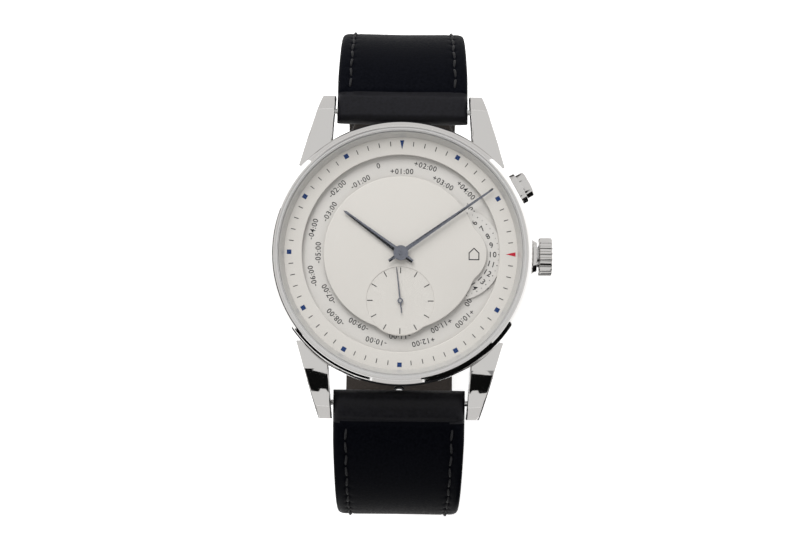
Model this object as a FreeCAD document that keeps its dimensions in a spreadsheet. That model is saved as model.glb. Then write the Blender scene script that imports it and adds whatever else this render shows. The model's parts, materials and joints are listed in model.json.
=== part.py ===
import FreeCAD, Part
import math
import os

import Sketcher
from FreeCAD import Placement, Rotation, Vector

# World time wristwatch on a leather strap.
# Frame: +Z out of the dial, +Y to 12 o'clock, +X to 3 o'clock and the crown.
# The origin is the middle of the wrist opening. Watch pieces are drawn above the case back's
# outer plane and lifted by back_height. Lengths are in millimetres.

doc = FreeCAD.newDocument("world_time_watch")
sheet = doc.addObject("Spreadsheet::Sheet", "Sizes")
parts = []


# Sizes that know their sheet formula

class Size:
    """A length with its number now and the sheet formula that gives it."""

    def __init__(self, number, formula):
        self.number = number
        self.formula = formula

    def __add__(self, other):
        return joined(self, "+", other)

    def __radd__(self, other):
        return joined(other, "+", self)

    def __sub__(self, other):
        return joined(self, "-", other)

    def __rsub__(self, other):
        return joined(other, "-", self)

    def __mul__(self, other):
        return joined(self, "*", other)

    def __rmul__(self, other):
        return joined(other, "*", self)

    def __truediv__(self, other):
        return joined(self, "/", other)

    def __neg__(self):
        return joined(-1, "*", self)


def as_size(value):
    if isinstance(value, Size):
        return value
    return Size(float(value), "(%r)" % float(value))


def joined(left, sign, right):
    one = as_size(left)
    two = as_size(right)
    if sign == "+":
        number = one.number + two.number
    elif sign == "-":
        number = one.number - two.number
    elif sign == "*":
        number = one.number * two.number
    else:
        number = one.number / two.number
    return Size(number, "(%s %s %s)" % (one.formula, sign, two.formula))


def dim(name, value, meaning):
    """One driving size: its name, number and meaning in a row of the sheet."""
    row = str(dim.rows)
    dim.rows += 1
    sheet.set("A" + row, name)
    sheet.set("B" + row, str(value))
    sheet.set("C" + row, meaning)
    sheet.setAlias("B" + row, name)
    return Size(float(value), "Sizes." + name)


dim.rows = 1


# Driving sizes

back_height = dim("back_height", 24.0, "outer plane of the case back above the origin")
fit_gap = dim("fit_gap", 0.03, "radial gap of pieces that are fitted together")
run_gap = dim("run_gap", 0.05, "radial gap of pieces that turn or slide")

case_radius = dim("case_radius", 19.6, "middle case")
foot_taper = dim("foot_taper", 1.0, "how far the case wall draws in towards the back")
case_foot_radius = case_radius - foot_taper
case_bottom = dim("case_bottom", 0.5, "lower edge of the middle case")
belly_height = dim("belly_height", 2.6, "where the case wall becomes upright")
case_shoulder = dim("case_shoulder", 7.25, "seat of the bezel")
bezel_seat = dim("bezel_seat", 0.7, "shoulder outside the collar that the bezel is pressed on")
neck_radius = case_radius - bezel_seat
neck_top = dim("neck_top", 7.95, "top of that collar")
neck_wall = dim("neck_wall", 1.1, "wall of that collar")
dial_bore = neck_radius - neck_wall
dial_seat = dim("dial_seat", 6.9, "floor of that recess")
back_wall = dim("back_wall", 0.6, "case wall round the screwed back")
back_radius = case_foot_radius - back_wall
screw_land = dim("screw_land", 2.4, "ring of the case that carries the back and its screws")
movement_bore = back_radius - screw_land
plate_gap = dim("plate_gap", 0.1, "gap round the movement")
plate_radius = movement_bore - plate_gap

back_thick = dim("back_thick", 1.2, "case back ring")
back_glass_inset = dim("back_glass_inset", 0.4, "edge of the back glass inside the movement's bore")
back_glass_radius = movement_bore - back_glass_inset
back_ledge = dim("back_ledge", 0.8, "ledge that carries the back glass")
back_window = back_glass_radius - back_ledge
back_glass_thick = dim("back_glass_thick", 0.8, "glass in the case back")
gasket_width = dim("gasket_width", 0.5, "case back gasket, across its ring")
gasket_outer = movement_bore + gasket_width
back_screw_inset = dim("back_screw_inset", 0.5, "back screws outside the gasket")
back_screw_circle = gasket_outer + back_screw_inset
back_screw_radius = dim("back_screw_radius", 0.45, "shank of a back screw")
back_screw_head = dim("back_screw_head", 0.8, "head of a back screw")
back_screw_depth = dim("back_screw_depth", 2.9, "tip of a back screw")
gasket_thick = dim("gasket_thick", 0.5, "case back gasket")

bezel_overhang = dim("bezel_overhang", 0.35, "bezel outside the case wall")
bezel_radius = case_radius + bezel_overhang
bezel_lip = dim("bezel_lip", 7.7, "top of the bezel's lower chamfer")
bezel_wall = dim("bezel_wall", 8.3, "where the bezel's flank starts to round in")
bezel_top = dim("bezel_top", 10.4, "highest edge of the bezel")
bezel_flank = dim("bezel_flank", 2.9, "rounding of the bezel's flank")
bezel_land = dim("bezel_land", 0.2, "flat land beside the glass")
glass_ledge = dim("glass_ledge", 9.6, "ledge that carries the glass gasket")
flange_seat = dim("flange_seat", 0.5, "step between the dial recess and the bezel's bore")
flange_bore = dial_bore + flange_seat

glass_lap = dim("glass_lap", 0.2, "how far the glass lies on its ledge")
glass_radius = flange_bore + glass_lap
glass_edge = dim("glass_edge", 10.2, "top of the upright edge of the glass")
glass_bevel = dim("glass_bevel", 0.22, "bevel round the glass")
glass_top = dim("glass_top", 10.9, "crown of the glass, the watch's full thickness")
glass_rim = glass_radius - glass_bevel
glass_rise = glass_top - glass_edge - glass_bevel
glass_dome = (glass_rim * glass_rim + glass_rise * glass_rise) / (2 * glass_rise)
seal_wall = dim("seal_wall", 0.3, "glass gasket wall")
seal_foot = dim("seal_foot", 0.05, "glass gasket under the glass")

strap_lug_width = dim("strap_lug_width", 20.0, "strap at the lugs")
lug_clearance = dim("lug_clearance", 0.12, "gap between strap and lug tip")
lug_splay = dim("lug_splay", 0.78, "how far the lugs' inner faces open towards the case")
lug_tip_width = dim("lug_tip_width", 1.83, "lug at its tip")
lug_root_width = dim("lug_root_width", 4.7, "lug at the case")
lug_inner_tip = strap_lug_width / 2 + lug_clearance
lug_inner_root = lug_inner_tip + lug_splay
lug_outer_tip = lug_inner_tip + lug_tip_width
lug_outer_root = lug_inner_root + lug_root_width
bar_gap = dim("bar_gap", 2.7, "axes of the strap bars outside the case wall")
bar_reach = case_radius + bar_gap
lug_beyond_bar = dim("lug_beyond_bar", 2.5, "lug tips past the strap bars")
lug_reach = bar_reach + lug_beyond_bar
lug_top = dim("lug_top", 6.95, "flat top of the lugs")
lug_fall = dim("lug_fall", 7.4, "length over which the lug tops curve down")
lug_shoulder = lug_reach - lug_fall
lug_flat = dim("lug_flat", 4.2, "length of the flat lug tops")
lug_root = lug_shoulder - lug_flat
lug_drop = dim("lug_drop", 1.3, "upper corner of the lug tips")
lug_curve = dim("lug_curve", 10.5, "curve of the lug tops")
lug_foot = dim("lug_foot", -0.35, "lowest edge of the lug tips")
lug_arch = dim("lug_arch", 12.0, "curve of the lug undersides")
bar_height = dim("bar_height", 1.75, "strap bars above the case back")
bar_radius = dim("bar_radius", 0.75, "strap bar")
bar_pin_radius = dim("bar_pin_radius", 0.42, "end pins of the strap bar")
bar_pin_depth = dim("bar_pin_depth", 0.8, "how far the end pins enter the lugs")

crown_height = dim("crown_height", 4.45, "crown axis")
crown_radius = dim("crown_radius", 2.9, "crown")
collar_length = dim("collar_length", 0.95, "cone between case and crown")
collar_end = case_radius + collar_length
crown_gap = dim("crown_gap", 0.27, "gap between that cone and the crown")
crown_start = collar_end + crown_gap
crown_length = dim("crown_length", 2.08, "crown, along its axis")
crown_end = crown_start + crown_length
crown_bevel = dim("crown_bevel", 0.35, "rounded rims of the crown")
flute_radius = dim("flute_radius", 0.36, "flutes round the crown")
tube_radius = dim("tube_radius", 1.5, "tube that the crown covers")
tube_bore = dim("tube_bore", 0.8, "bore of that tube")
collar_base = dim("collar_base", 2.75, "cone between case and crown")
collar_tip = dim("collar_tip", 2.4, "small end of that cone")
stem_radius = dim("stem_radius", 0.5, "winding stem")
stem_inside = dim("stem_inside", 6.1, "winding stem inside the movement's edge")
stem_start = plate_radius - stem_inside

button_angle = dim("button_angle", 30.0, "button, degrees above 3 o'clock")
button_height = dim("button_height", 4.5, "button axis")
button_radius = dim("button_radius", 2.05, "button cap")
button_tube_radius = dim("button_tube_radius", 2.5, "collar round the button")
button_collar = dim("button_collar", 1.35, "how far that collar stands out of the case")
button_tube_end = case_radius + button_collar
button_sunk = dim("button_sunk", 0.45, "how deep the released button sits in its collar")
button_base = button_tube_end - button_sunk
button_length = dim("button_length", 1.85, "button cap")
button_end = button_base + button_length
button_room = dim("button_room", 1.0, "free way below the button cap")
button_floor = button_base - button_room
button_sleeve = dim("button_sleeve", 2.35, "sleeve of the button inside the case")
button_stem = dim("button_stem", 0.55, "stem of the button")
button_stem_inside = dim("button_stem_inside", 0.6, "stem inside the movement's edge")
button_stem_end = plate_radius - button_stem_inside
spring_bore = dim("spring_bore", 1.4, "room for the button's spring")
spring_room = dim("spring_room", 1.6, "depth of that room")
spring_floor = button_floor - spring_room
spring_wire = dim("spring_wire", 0.13, "button spring wire, radius")
spring_coil = dim("spring_coil", 1.0, "button spring, mean radius")
spring_turns = dim("spring_turns", 4, "button spring, turns")

dial_plate_top = dim("dial_plate_top", 7.2, "top of the plate under the dials")
world_bottom = dim("world_bottom", 7.3, "underside of the world ring")
world_top = dim("world_top", 7.55, "face of the world ring")
world_inner = dim("world_inner", 10.9, "world ring")
world_outer = dim("world_outer", 15.2, "world ring")
home_bottom = dim("home_bottom", 7.7, "underside of the home time disc")
home_top = dim("home_top", 7.9, "face of the home time disc")
home_centre = dim("home_centre", 8.27, "home time disc, right of the middle")
home_radius = dim("home_radius", 7.0, "home time disc")
home_axle = dim("home_axle", 0.6, "axle of that disc")
dial_bottom = dim("dial_bottom", 8.05, "underside of the dials")
dial_top = dim("dial_top", 8.45, "face of the dials")
dial_radius = dial_bore - run_gap
aperture_outer = dim("aperture_outer", 14.85, "outer edge of the ring window")
aperture_inner = dim("aperture_inner", 11.6, "inner edge of the ring window")
support_inner = dim("support_inner", 15.5, "ring that carries the outer dial")
seconds_centre = dim("seconds_centre", -7.15, "small seconds, below the middle")
seconds_radius = dim("seconds_radius", 5.28, "small seconds dial")
seconds_sink = dim("seconds_sink", 0.08, "how deep the small seconds dial is sunk")
seconds_rim = dim("seconds_rim", 0.15, "rim left round the sunk face")
dial_fillet = dim("dial_fillet", 1.6, "rounding where both dials meet")
dial_hole = dim("dial_hole", 1.0, "middle hole of the dial")
seconds_hole = dim("seconds_hole", 0.4, "hole for the seconds arbor")
foot_radius = dim("foot_radius", 0.4, "dial feet")
flange_cover = dim("flange_cover", 0.25, "how far the flange covers the dial's edge")
flange_inner = dial_radius - flange_cover
flange_slope = dim("flange_slope", 0.6, "how far the flange opens towards the glass")
flange_top_inner = flange_inner + flange_slope

hour_length = dim("hour_length", 10.76, "hour hand")
hour_width = dim("hour_width", 0.86, "hour hand at the hub")
hour_tip_width = dim("hour_tip_width", 0.36, "hour hand near its tip")
hour_angle = dim("hour_angle", 306.0, "hour hand, degrees clockwise from 12")
hour_base = dim("hour_base", 8.85, "underside of the hour hand")
minute_margin = dim("minute_margin", 0.75, "tip of the minute hand inside the dial's edge")
minute_length = dial_radius - minute_margin
minute_width = dim("minute_width", 0.66, "minute hand at the hub")
minute_tip_width = dim("minute_tip_width", 0.28, "minute hand near its tip")
minute_angle = dim("minute_angle", 54.6, "minute hand, degrees clockwise from 12")
minute_base = dim("minute_base", 9.15, "underside of the minute hand")
hand_tail = dim("hand_tail", 2.2, "counterweight ends of both hands")
hand_hub = dim("hand_hub", 1.12, "hub discs of both hands")
hand_edge = dim("hand_edge", 0.08, "hand thickness at the edge")
hand_ridge = dim("hand_ridge", 0.18, "hand thickness at the ridge")
second_length = dim("second_length", 5.12, "seconds hand")
second_tail = dim("second_tail", 1.9, "seconds hand, other end")
second_width = dim("second_width", 0.24, "seconds hand at its hub")
second_tip_width = dim("second_tip_width", 0.12, "seconds hand at its tip")
second_hub = dim("second_hub", 0.5, "hub of the seconds hand")
second_angle = dim("second_angle", 353.0, "seconds hand, degrees clockwise from 12")
second_base = dim("second_base", 8.58, "underside of the seconds hand")
minute_arbor = dim("minute_arbor", 0.4, "arbor of the minute hand")
minute_post_top = dim("minute_post_top", 9.5, "top of that arbor")
hour_pipe = dim("hour_pipe", 0.75, "pipe of the hour hand")
second_arbor = dim("second_arbor", 0.2, "arbor of the seconds hand")
hour_wheel_radius = dim("hour_wheel_radius", 3.4, "wheel under the hour hand")

plate_floor = dim("plate_floor", 5.4, "inner face of the main plate")
plate_rim = dim("plate_rim", 0.9, "rim of the main plate")
plate_rim_radius = plate_radius - plate_rim
plate_screw_inset = dim("plate_screw_inset", 2.15, "plate screws inside the movement's edge")
plate_screw_head = dim("plate_screw_head", 0.95, "sink of a plate screw's head")
jewel_radius = dim("jewel_radius", 0.75, "seat of a jewel")
stem_slot = dim("stem_slot", 0.75, "half of the rim's openings for stem and button")
bridge_top = dim("bridge_top", 3.9, "inner face of the three quarter plate")
bridge_bottom = dim("bridge_bottom", 2.55, "face of the three quarter plate seen from the back")
balance_left = dim("balance_left", 8.8, "balance staff right of the movement's left edge")
balance_low = dim("balance_low", 8.5, "balance staff above the movement's lower edge")
balance_x = balance_left - plate_radius
balance_y = balance_low - plate_radius
balance_radius = dim("balance_radius", 4.3, "balance wheel")
balance_bay = dim("balance_bay", 4.95, "opening of the plate round the balance")
rotor_inset = dim("rotor_inset", 1.1, "rotor inside the movement's edge")
rotor_radius = plate_radius - rotor_inset
rotor_bottom = dim("rotor_bottom", 1.35, "outer face of the rotor's weight")
rotor_top = dim("rotor_top", 2.4, "inner face of the rotor's weight")
rotor_web = dim("rotor_web", 0.45, "thickness of the rotor's web")
rotor_weight = dim("rotor_weight", 2.8, "width of the rotor's weight")
rotor_rim = rotor_radius - rotor_weight
rotor_hub = dim("rotor_hub", 2.9, "hub of the rotor")
bearing_radius = dim("bearing_radius", 1.9, "ball bearing of the rotor")

wheel_thick = dim("wheel_thick", 0.15, "wheels of the going train")
wheel_rim = dim("wheel_rim", 0.4, "their rims inside the teeth")
wheel_spoke = dim("wheel_spoke", 0.35, "their spokes")
tooth_depth = dim("tooth_depth", 0.16, "their teeth")
mesh_gap = dim("mesh_gap", 0.05, "gap between a wheel and the pinion beside it")
train_arbor = dim("train_arbor", 0.2, "arbors of the going train")
barrel_radius = dim("barrel_radius", 5.2, "mainspring barrel over its teeth")
barrel_low = dim("barrel_low", 4.45, "barrel, lower face")
barrel_high = dim("barrel_high", 5.2, "barrel, upper face")
barrel_angle = dim("barrel_angle", 59.0, "barrel, degrees above 3 o'clock")
centre_wheel_radius = dim("centre_wheel_radius", 4.0, "centre wheel")
centre_wheel_low = dim("centre_wheel_low", 4.02, "centre wheel, lower face")
centre_pinion = dim("centre_pinion", 0.6, "pinion that the barrel drives")
third_wheel_radius = dim("third_wheel_radius", 3.0, "third wheel")
third_wheel_low = dim("third_wheel_low", 4.8, "third wheel, lower face")
third_pinion = dim("third_pinion", 0.5, "pinion that the centre wheel drives")
fourth_wheel_radius = dim("fourth_wheel_radius", 2.9, "fourth wheel")
fourth_wheel_low = dim("fourth_wheel_low", 4.12, "fourth wheel, lower face")
fourth_pinion = dim("fourth_pinion", 0.4, "pinion that the third wheel drives")
escape_radius = dim("escape_radius", 2.0, "escape wheel")
escape_low = dim("escape_low", 5.0, "escape wheel and pallet fork, lower face")
escape_pinion = dim("escape_pinion", 0.35, "pinion that the fourth wheel drives")
escape_angle = dim("escape_angle", 245.0, "escape arbor seen from the fourth wheel, degrees")
fork_span = dim("fork_span", 2.7, "escape arbor to pallet arbor")
fork_clear = dim("fork_clear", 0.65, "end of the pallet fork to the balance staff")
pallet_clear = dim("pallet_clear", 0.2, "pallet stones outside the escape wheel")

strap_end_width = dim("strap_end_width", 18.0, "strap at the buckle")
taper_start = dim("taper_start", 6.0, "where the strap starts to narrow, from its bar")
taper_run = dim("taper_run", 36.0, "length over which it narrows")
strap_roll = dim("strap_roll", 1.95, "rolled strap end round its bar")
strap_widest = dim("strap_widest", 7.0, "height of the strap's widest place above the origin")
strap_bottom = dim("strap_bottom", -24.0, "lowest place of the short strap's middle line")
short_out = dim("short_out", 13.5, "short strap's middle line outside its bar")
short_reach = bar_reach + short_out
short_side = dim("short_side", 22.0, "side curve of the short strap")
long_out = dim("long_out", 15.7, "long strap's middle line outside its bar")
long_reach = bar_reach + long_out
long_side = dim("long_side", 20.0, "side curve of the long strap")
tail_offset = dim("tail_offset", 4.0, "tail of the long strap inside the short one")
short_length = dim("short_length", 76.0, "short strap, bar to buckle bar")
tail_length = dim("tail_length", 34.0, "long strap past the lowest place")
leather_lug = dim("leather_lug", 2.0, "upper leather near the lugs")
leather_end = dim("leather_end", 1.3, "upper leather at the buckle")
leather_edge = dim("leather_edge", 0.45, "how much thinner its edges are")
edge_band = dim("edge_band", 2.0, "width of the thinner edges")
lining_thick = dim("lining_thick", 0.8, "lining leather")
fold_length = dim("fold_length", 5.0, "leather folded back behind a bar")
hole_radius = dim("hole_radius", 0.95, "buckle holes")
hole_pitch = dim("hole_pitch", 6.0, "buckle holes, apart")
hole_first = dim("hole_first", 24.0, "first buckle hole from the tip")
hole_count = dim("hole_count", 7, "buckle holes")
tip_taper = dim("tip_taper", 11.0, "pointed end of the long strap")

keeper_length = dim("keeper_length", 5.0, "keepers, along the strap")
keeper_wall = dim("keeper_wall", 0.9, "keeper leather")
keeper_room = dim("keeper_room", 2.3, "room for the strap tail in a keeper")
keeper_gap = dim("keeper_gap", 0.2, "gap between keeper and strap")
fixed_keeper_at = dim("fixed_keeper_at", 9.0, "fixed keeper, from the buckle bar")
floating_keeper_at = dim("floating_keeper_at", 21.0, "floating keeper, from the buckle bar")

buckle_bar = dim("buckle_bar", 0.75, "buckle bar")
buckle_roll = dim("buckle_roll", 1.5, "rolled strap end round the buckle bar")
buckle_ear = dim("buckle_ear", 1.8, "width of the buckle's ears")
buckle_reach = dim("buckle_reach", 14.6, "front of the buckle from its bar")
buckle_front = dim("buckle_front", 3.0, "front bar of the buckle")
buckle_thick = dim("buckle_thick", 2.0, "buckle frame")
buckle_heel = dim("buckle_heel", 1.6, "ears behind the bar")
tongue_width = dim("tongue_width", 2.0, "buckle tongue")
tongue_thick = dim("tongue_thick", 1.0, "buckle tongue")
tongue_ring = dim("tongue_ring", 1.35, "eye of the tongue")
tongue_slot = dim("tongue_slot", 1.5, "half of the slot in the strap for the tongue")
tongue_notch = dim("tongue_notch", 0.5, "rest for the tongue in the front bar")

doc.recompute()


# Sketches and features

def origin_feature(body, role):
    for feature in body.Origin.OriginFeatures:
        if feature.Role == role:
            return feature
    raise ValueError(role)


def new_body(label, lift=back_height, turn=None):
    """A body with its label; it stands on the case back's plane unless lifted otherwise."""
    body = doc.addObject("PartDesign::Body", "Body_" + label)
    body.Label = label
    if turn is not None:
        body.Placement = Placement(Vector(0, 0, 0), turn)
    body.setExpression("Placement.Base.z", as_size(lift).formula)
    parts.append(body)
    return body


def new_sketch(body, role, lift=0, turn=None):
    sketch = body.newObject("Sketcher::SketchObject", body.Name + "_sketch")
    sketch.AttachmentSupport = (origin_feature(body, role), [""])
    sketch.MapMode = "FlatFace"
    if turn is not None:
        sketch.AttachmentOffset = Placement(Vector(0, 0, 0), turn)
    if isinstance(lift, Size) or lift != 0:
        sketch.setExpression("AttachmentOffset.Base.z", as_size(lift).formula)
    return sketch


def tie(sketch, kind, geometry, point, value):
    """Ties one coordinate of a point to its formula; a plain zero puts it on the axis."""
    if not isinstance(value, Size) and value == 0:
        axis = -2 if kind == "DistanceX" else -1
        sketch.addConstraint(Sketcher.Constraint("PointOnObject", geometry, point, axis))
        return
    size = as_size(value)
    rule = Sketcher.Constraint(kind, -1, 1, geometry, point, size.number)
    index = sketch.addConstraint(rule)
    sketch.setExpression("Constraints[%d]" % index, size.formula)


def arc_between(start, end, radius, side):
    """The shorter arc of that radius; side 1 has its centre left of the way, -1 right."""
    chord = end - start
    half = chord.Length / 2
    left = Vector(-chord.y, chord.x, 0)
    left.normalize()
    centre = (start + end) / 2 + left * side * math.sqrt(radius * radius - half * half)
    first, last = (start, end) if side > 0 else (end, start)
    low = math.atan2(first.y - centre.y, first.x - centre.x)
    high = math.atan2(last.y - centre.y, last.x - centre.x)
    return Part.ArcOfCircle(Part.Circle(centre, Vector(0, 0, 1), radius), low, high)


def outline(sketch, corners):
    """Closed outline. A corner is (x, y), or (x, y, radius, side) where an arc follows it."""
    first = sketch.GeometryCount
    count = len(corners)
    places = [Vector(as_size(c[0]).number, as_size(c[1]).number, 0) for c in corners]
    starts = []
    for i, corner in enumerate(corners):
        start = places[i]
        end = places[(i + 1) % count]
        if len(corner) == 2:
            sketch.addGeometry(Part.LineSegment(start, end))
            starts.append(1)
            continue
        size = as_size(corner[2])
        sketch.addGeometry(arc_between(start, end, size.number, corner[3]))
        starts.append(1 if corner[3] > 0 else 2)
    for i in range(count):
        after = (i + 1) % count
        here = (first + i, 3 - starts[i])
        there = (first + after, starts[after])
        sketch.addConstraint(Sketcher.Constraint("Coincident", *here, *there))
    for i, corner in enumerate(corners):
        tie(sketch, "DistanceX", first + i, starts[i], corner[0])
        tie(sketch, "DistanceY", first + i, starts[i], corner[1])
        if len(corner) == 4:
            size = as_size(corner[2])
            rule = Sketcher.Constraint("Radius", first + i, size.number)
            index = sketch.addConstraint(rule)
            sketch.setExpression("Constraints[%d]" % index, size.formula)


def circle(sketch, x, y, radius):
    size = as_size(radius)
    middle = Vector(as_size(x).number, as_size(y).number, 0)
    index = sketch.addGeometry(Part.Circle(middle, Vector(0, 0, 1), size.number))
    rule = sketch.addConstraint(Sketcher.Constraint("Radius", index, size.number))
    sketch.setExpression("Constraints[%d]" % rule, size.formula)
    tie(sketch, "DistanceX", index, 3, x)
    tie(sketch, "DistanceY", index, 3, y)


def box_corners(x_low, x_high, y_low, y_high):
    return [(x_low, y_low), (x_high, y_low), (x_high, y_high), (x_low, y_high)]


def revolve(body, sketch, axis="V_Axis"):
    feature = body.newObject("PartDesign::Revolution", body.Name + "_turned")
    feature.Profile = sketch
    feature.ReferenceAxis = (sketch, [axis])
    feature.Angle = 360
    doc.recompute()
    return feature


def pad(body, sketch, height, midplane=False):
    feature = body.newObject("PartDesign::Pad", body.Name + "_pad")
    feature.Profile = sketch
    feature.Midplane = midplane
    feature.setExpression("Length", as_size(height).formula)
    doc.recompute()
    return feature


def checked(body, before):
    """A cut must take something away."""
    doc.recompute()
    if body.Shape.Volume > before - 1e-6:
        raise ValueError("a cut in %s takes nothing away" % body.Label)


def pocket(body, sketch, depth, reverse=True, midplane=False):
    """Cuts upwards from the sketch for reverse, downwards otherwise."""
    before = body.Shape.Volume
    feature = body.newObject("PartDesign::Pocket", body.Name + "_pocket")
    feature.Profile = sketch
    feature.Midplane = midplane
    feature.Reversed = reverse
    feature.setExpression("Length", as_size(depth).formula)
    checked(body, before)
    return feature


def groove(body, sketch, axis="V_Axis"):
    before = body.Shape.Volume
    feature = body.newObject("PartDesign::Groove", body.Name + "_groove")
    feature.Profile = sketch
    feature.ReferenceAxis = (sketch, [axis])
    feature.Angle = 360
    checked(body, before)
    return feature


def repeat_round(body, feature, role, count):
    pattern = body.newObject("PartDesign::PolarPattern", body.Name + "_round")
    pattern.Originals = [feature]
    pattern.Axis = (origin_feature(body, role), [""])
    pattern.Angle = 360
    pattern.Occurrences = count
    body.Tip = pattern
    doc.recompute()
    return pattern


def soften(body, radius, wanted):
    """Rounds the edges of the body that the test wanted(edge) picks."""
    names = ["Edge%d" % (i + 1) for i, edge in enumerate(body.Shape.Edges) if wanted(edge)]
    if not names:
        raise ValueError("no edge to round in " + body.Label)
    base = body.Tip
    feature = body.newObject("PartDesign::Fillet", body.Name + "_fillet")
    feature.Base = (base, names)
    feature.setExpression("Radius", as_size(radius).formula)
    body.Tip = feature
    doc.recompute()
    return feature


def turned(label, corners, axis="V_Axis", lift=back_height, turn=None):
    """A body turned on a lathe from an outline in the XZ plane."""
    body = new_body(label, lift, turn)
    sketch = new_sketch(body, "XZ_Plane")
    outline(sketch, corners)
    revolve(body, sketch, axis)
    return body


def washer(label, inner, outer, low, high):
    return turned(label, box_corners(inner, outer, low, high))


def bore(body, places, radius, low, depth):
    """Upright round holes through a body, one for each (x, y)."""
    sketch = new_sketch(body, "XY_Plane", low)
    for x, y in places:
        circle(sketch, x, y, radius)
    return pocket(body, sketch, depth)


def plain_part(label, shape, lift=None, turn=None):
    """A solid made with plain geometry, placed after its shape is set."""
    feature = doc.addObject("Part::Feature", "Solid_" + label)
    feature.Label = label
    feature.Shape = shape
    base = back_height.number if lift is None else lift
    feature.Placement = Placement(Vector(0, 0, base), turn or Rotation()).multiply(shape.Placement)
    parts.append(feature)
    return feature


def disc(radius, low, high, x=0.0, y=0.0):
    return Part.makeCylinder(radius, high - low, Vector(x, y, low))


# Case

def make_case_middle():
    """Turned ring, four lugs left from two bars, and the holes for bars, crown and button."""
    body = new_body("case_middle")
    sides = new_sketch(body, "YZ_Plane")
    for way in (1, -1):
        outline(sides, [
            (lug_root * way, belly_height),
            (lug_shoulder * way, belly_height - 1.2, lug_arch, -way),
            ((lug_reach - 1.1) * way, lug_foot),
            (lug_reach * way, lug_foot + 0.25),
            (lug_reach * way, lug_drop, lug_curve, way),
            (lug_shoulder * way, lug_top),
            (lug_root * way, lug_top),
        ])
    pad(body, sides, lug_outer_root * 2, midplane=True)
    plan = new_sketch(body, "XY_Plane", lug_foot - 1)
    beyond = lug_reach + 1
    gap_root = lug_root - 1
    for way in (1, -1):
        outline(plan, [
            (-lug_inner_root, gap_root * way),
            (lug_inner_root, gap_root * way),
            (lug_inner_tip, beyond * way),
            (-lug_inner_tip, beyond * way),
        ])
        for side in (1, -1):
            outline(plan, [
                (lug_outer_root * side, (lug_root - 0.5) * way),
                ((lug_outer_root + 1) * side, (lug_root - 0.5) * way),
                ((lug_outer_root + 1) * side, beyond * way),
                (lug_outer_tip * side, beyond * way),
            ])
    pocket(body, plan, lug_top - lug_foot + 2)
    ring = new_sketch(body, "XZ_Plane")
    outline(ring, [
        (0, case_bottom),
        (case_foot_radius, case_bottom),
        (case_radius, belly_height),
        (case_radius, case_shoulder),
        (neck_radius, case_shoulder),
        (neck_radius, neck_top),
        (0, neck_top),
    ])
    revolve(body, ring)
    hollow = new_sketch(body, "XZ_Plane")
    outline(hollow, [
        (0, lug_foot - 1),
        (back_radius + fit_gap, lug_foot - 1),
        (back_radius + fit_gap, back_thick),
        (gasket_outer, back_thick),
        (gasket_outer, back_thick + gasket_thick),
        (movement_bore, back_thick + gasket_thick),
        (movement_bore, dial_seat),
        (dial_bore, dial_seat),
        (dial_bore, neck_top + 1),
        (0, neck_top + 1),
    ])
    groove(body, hollow)
    pins = new_sketch(body, "YZ_Plane")
    for way in (1, -1):
        circle(pins, bar_reach * way, bar_height, bar_pin_radius + fit_gap)
    pocket(body, pins, (lug_inner_root + bar_pin_depth) * 2, midplane=True)
    stem = new_sketch(body, "YZ_Plane", movement_bore - 2)
    circle(stem, 0, crown_height, tube_radius)
    pocket(body, stem, case_radius)
    button = new_sketch(body, "YZ_Plane", 0, Rotation(Vector(0, 1, 0), button_angle.number))
    circle(button, 0, button_height, button_sleeve)
    pocket(body, button, case_radius + 1)
    screw = new_sketch(body, "XY_Plane", back_thick)
    circle(screw, back_screw_circle, 0, back_screw_radius)
    hole = pocket(body, screw, back_screw_depth - back_thick + 0.2)
    repeat_round(body, hole, "Z_Axis", 6)
    return body


def make_case_top():
    turned("bezel", [
        (neck_radius + fit_gap, case_shoulder),
        (bezel_radius - 0.3, case_shoulder),
        (bezel_radius, bezel_lip),
        (bezel_radius, bezel_wall, bezel_flank, 1),
        (glass_radius + seal_wall + bezel_land, bezel_top),
        (glass_radius + seal_wall, bezel_top - 0.04),
        (glass_radius + seal_wall, glass_ledge),
        (flange_bore, glass_ledge),
        (flange_bore, neck_top),
        (neck_radius + fit_gap, neck_top),
    ])
    turned("crystal", [
        (0, glass_ledge + seal_foot),
        (glass_radius, glass_ledge + seal_foot),
        (glass_radius, glass_edge),
        (glass_rim, glass_edge + glass_bevel, glass_dome, 1),
        (0, glass_top),
    ])
    turned("crystal_gasket", [
        (flange_bore, glass_ledge),
        (glass_radius + seal_wall, glass_ledge),
        (glass_radius + seal_wall, glass_edge + 0.05),
        (glass_radius, glass_edge + 0.05),
        (glass_radius, glass_ledge + seal_foot),
        (flange_bore, glass_ledge + seal_foot),
    ])
    turned("dial_flange", [
        (flange_inner, dial_top),
        (flange_bore - fit_gap, dial_top),
        (flange_bore - fit_gap, glass_ledge),
        (flange_top_inner, glass_ledge),
        (flange_inner, dial_top + 0.15),
    ])


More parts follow.
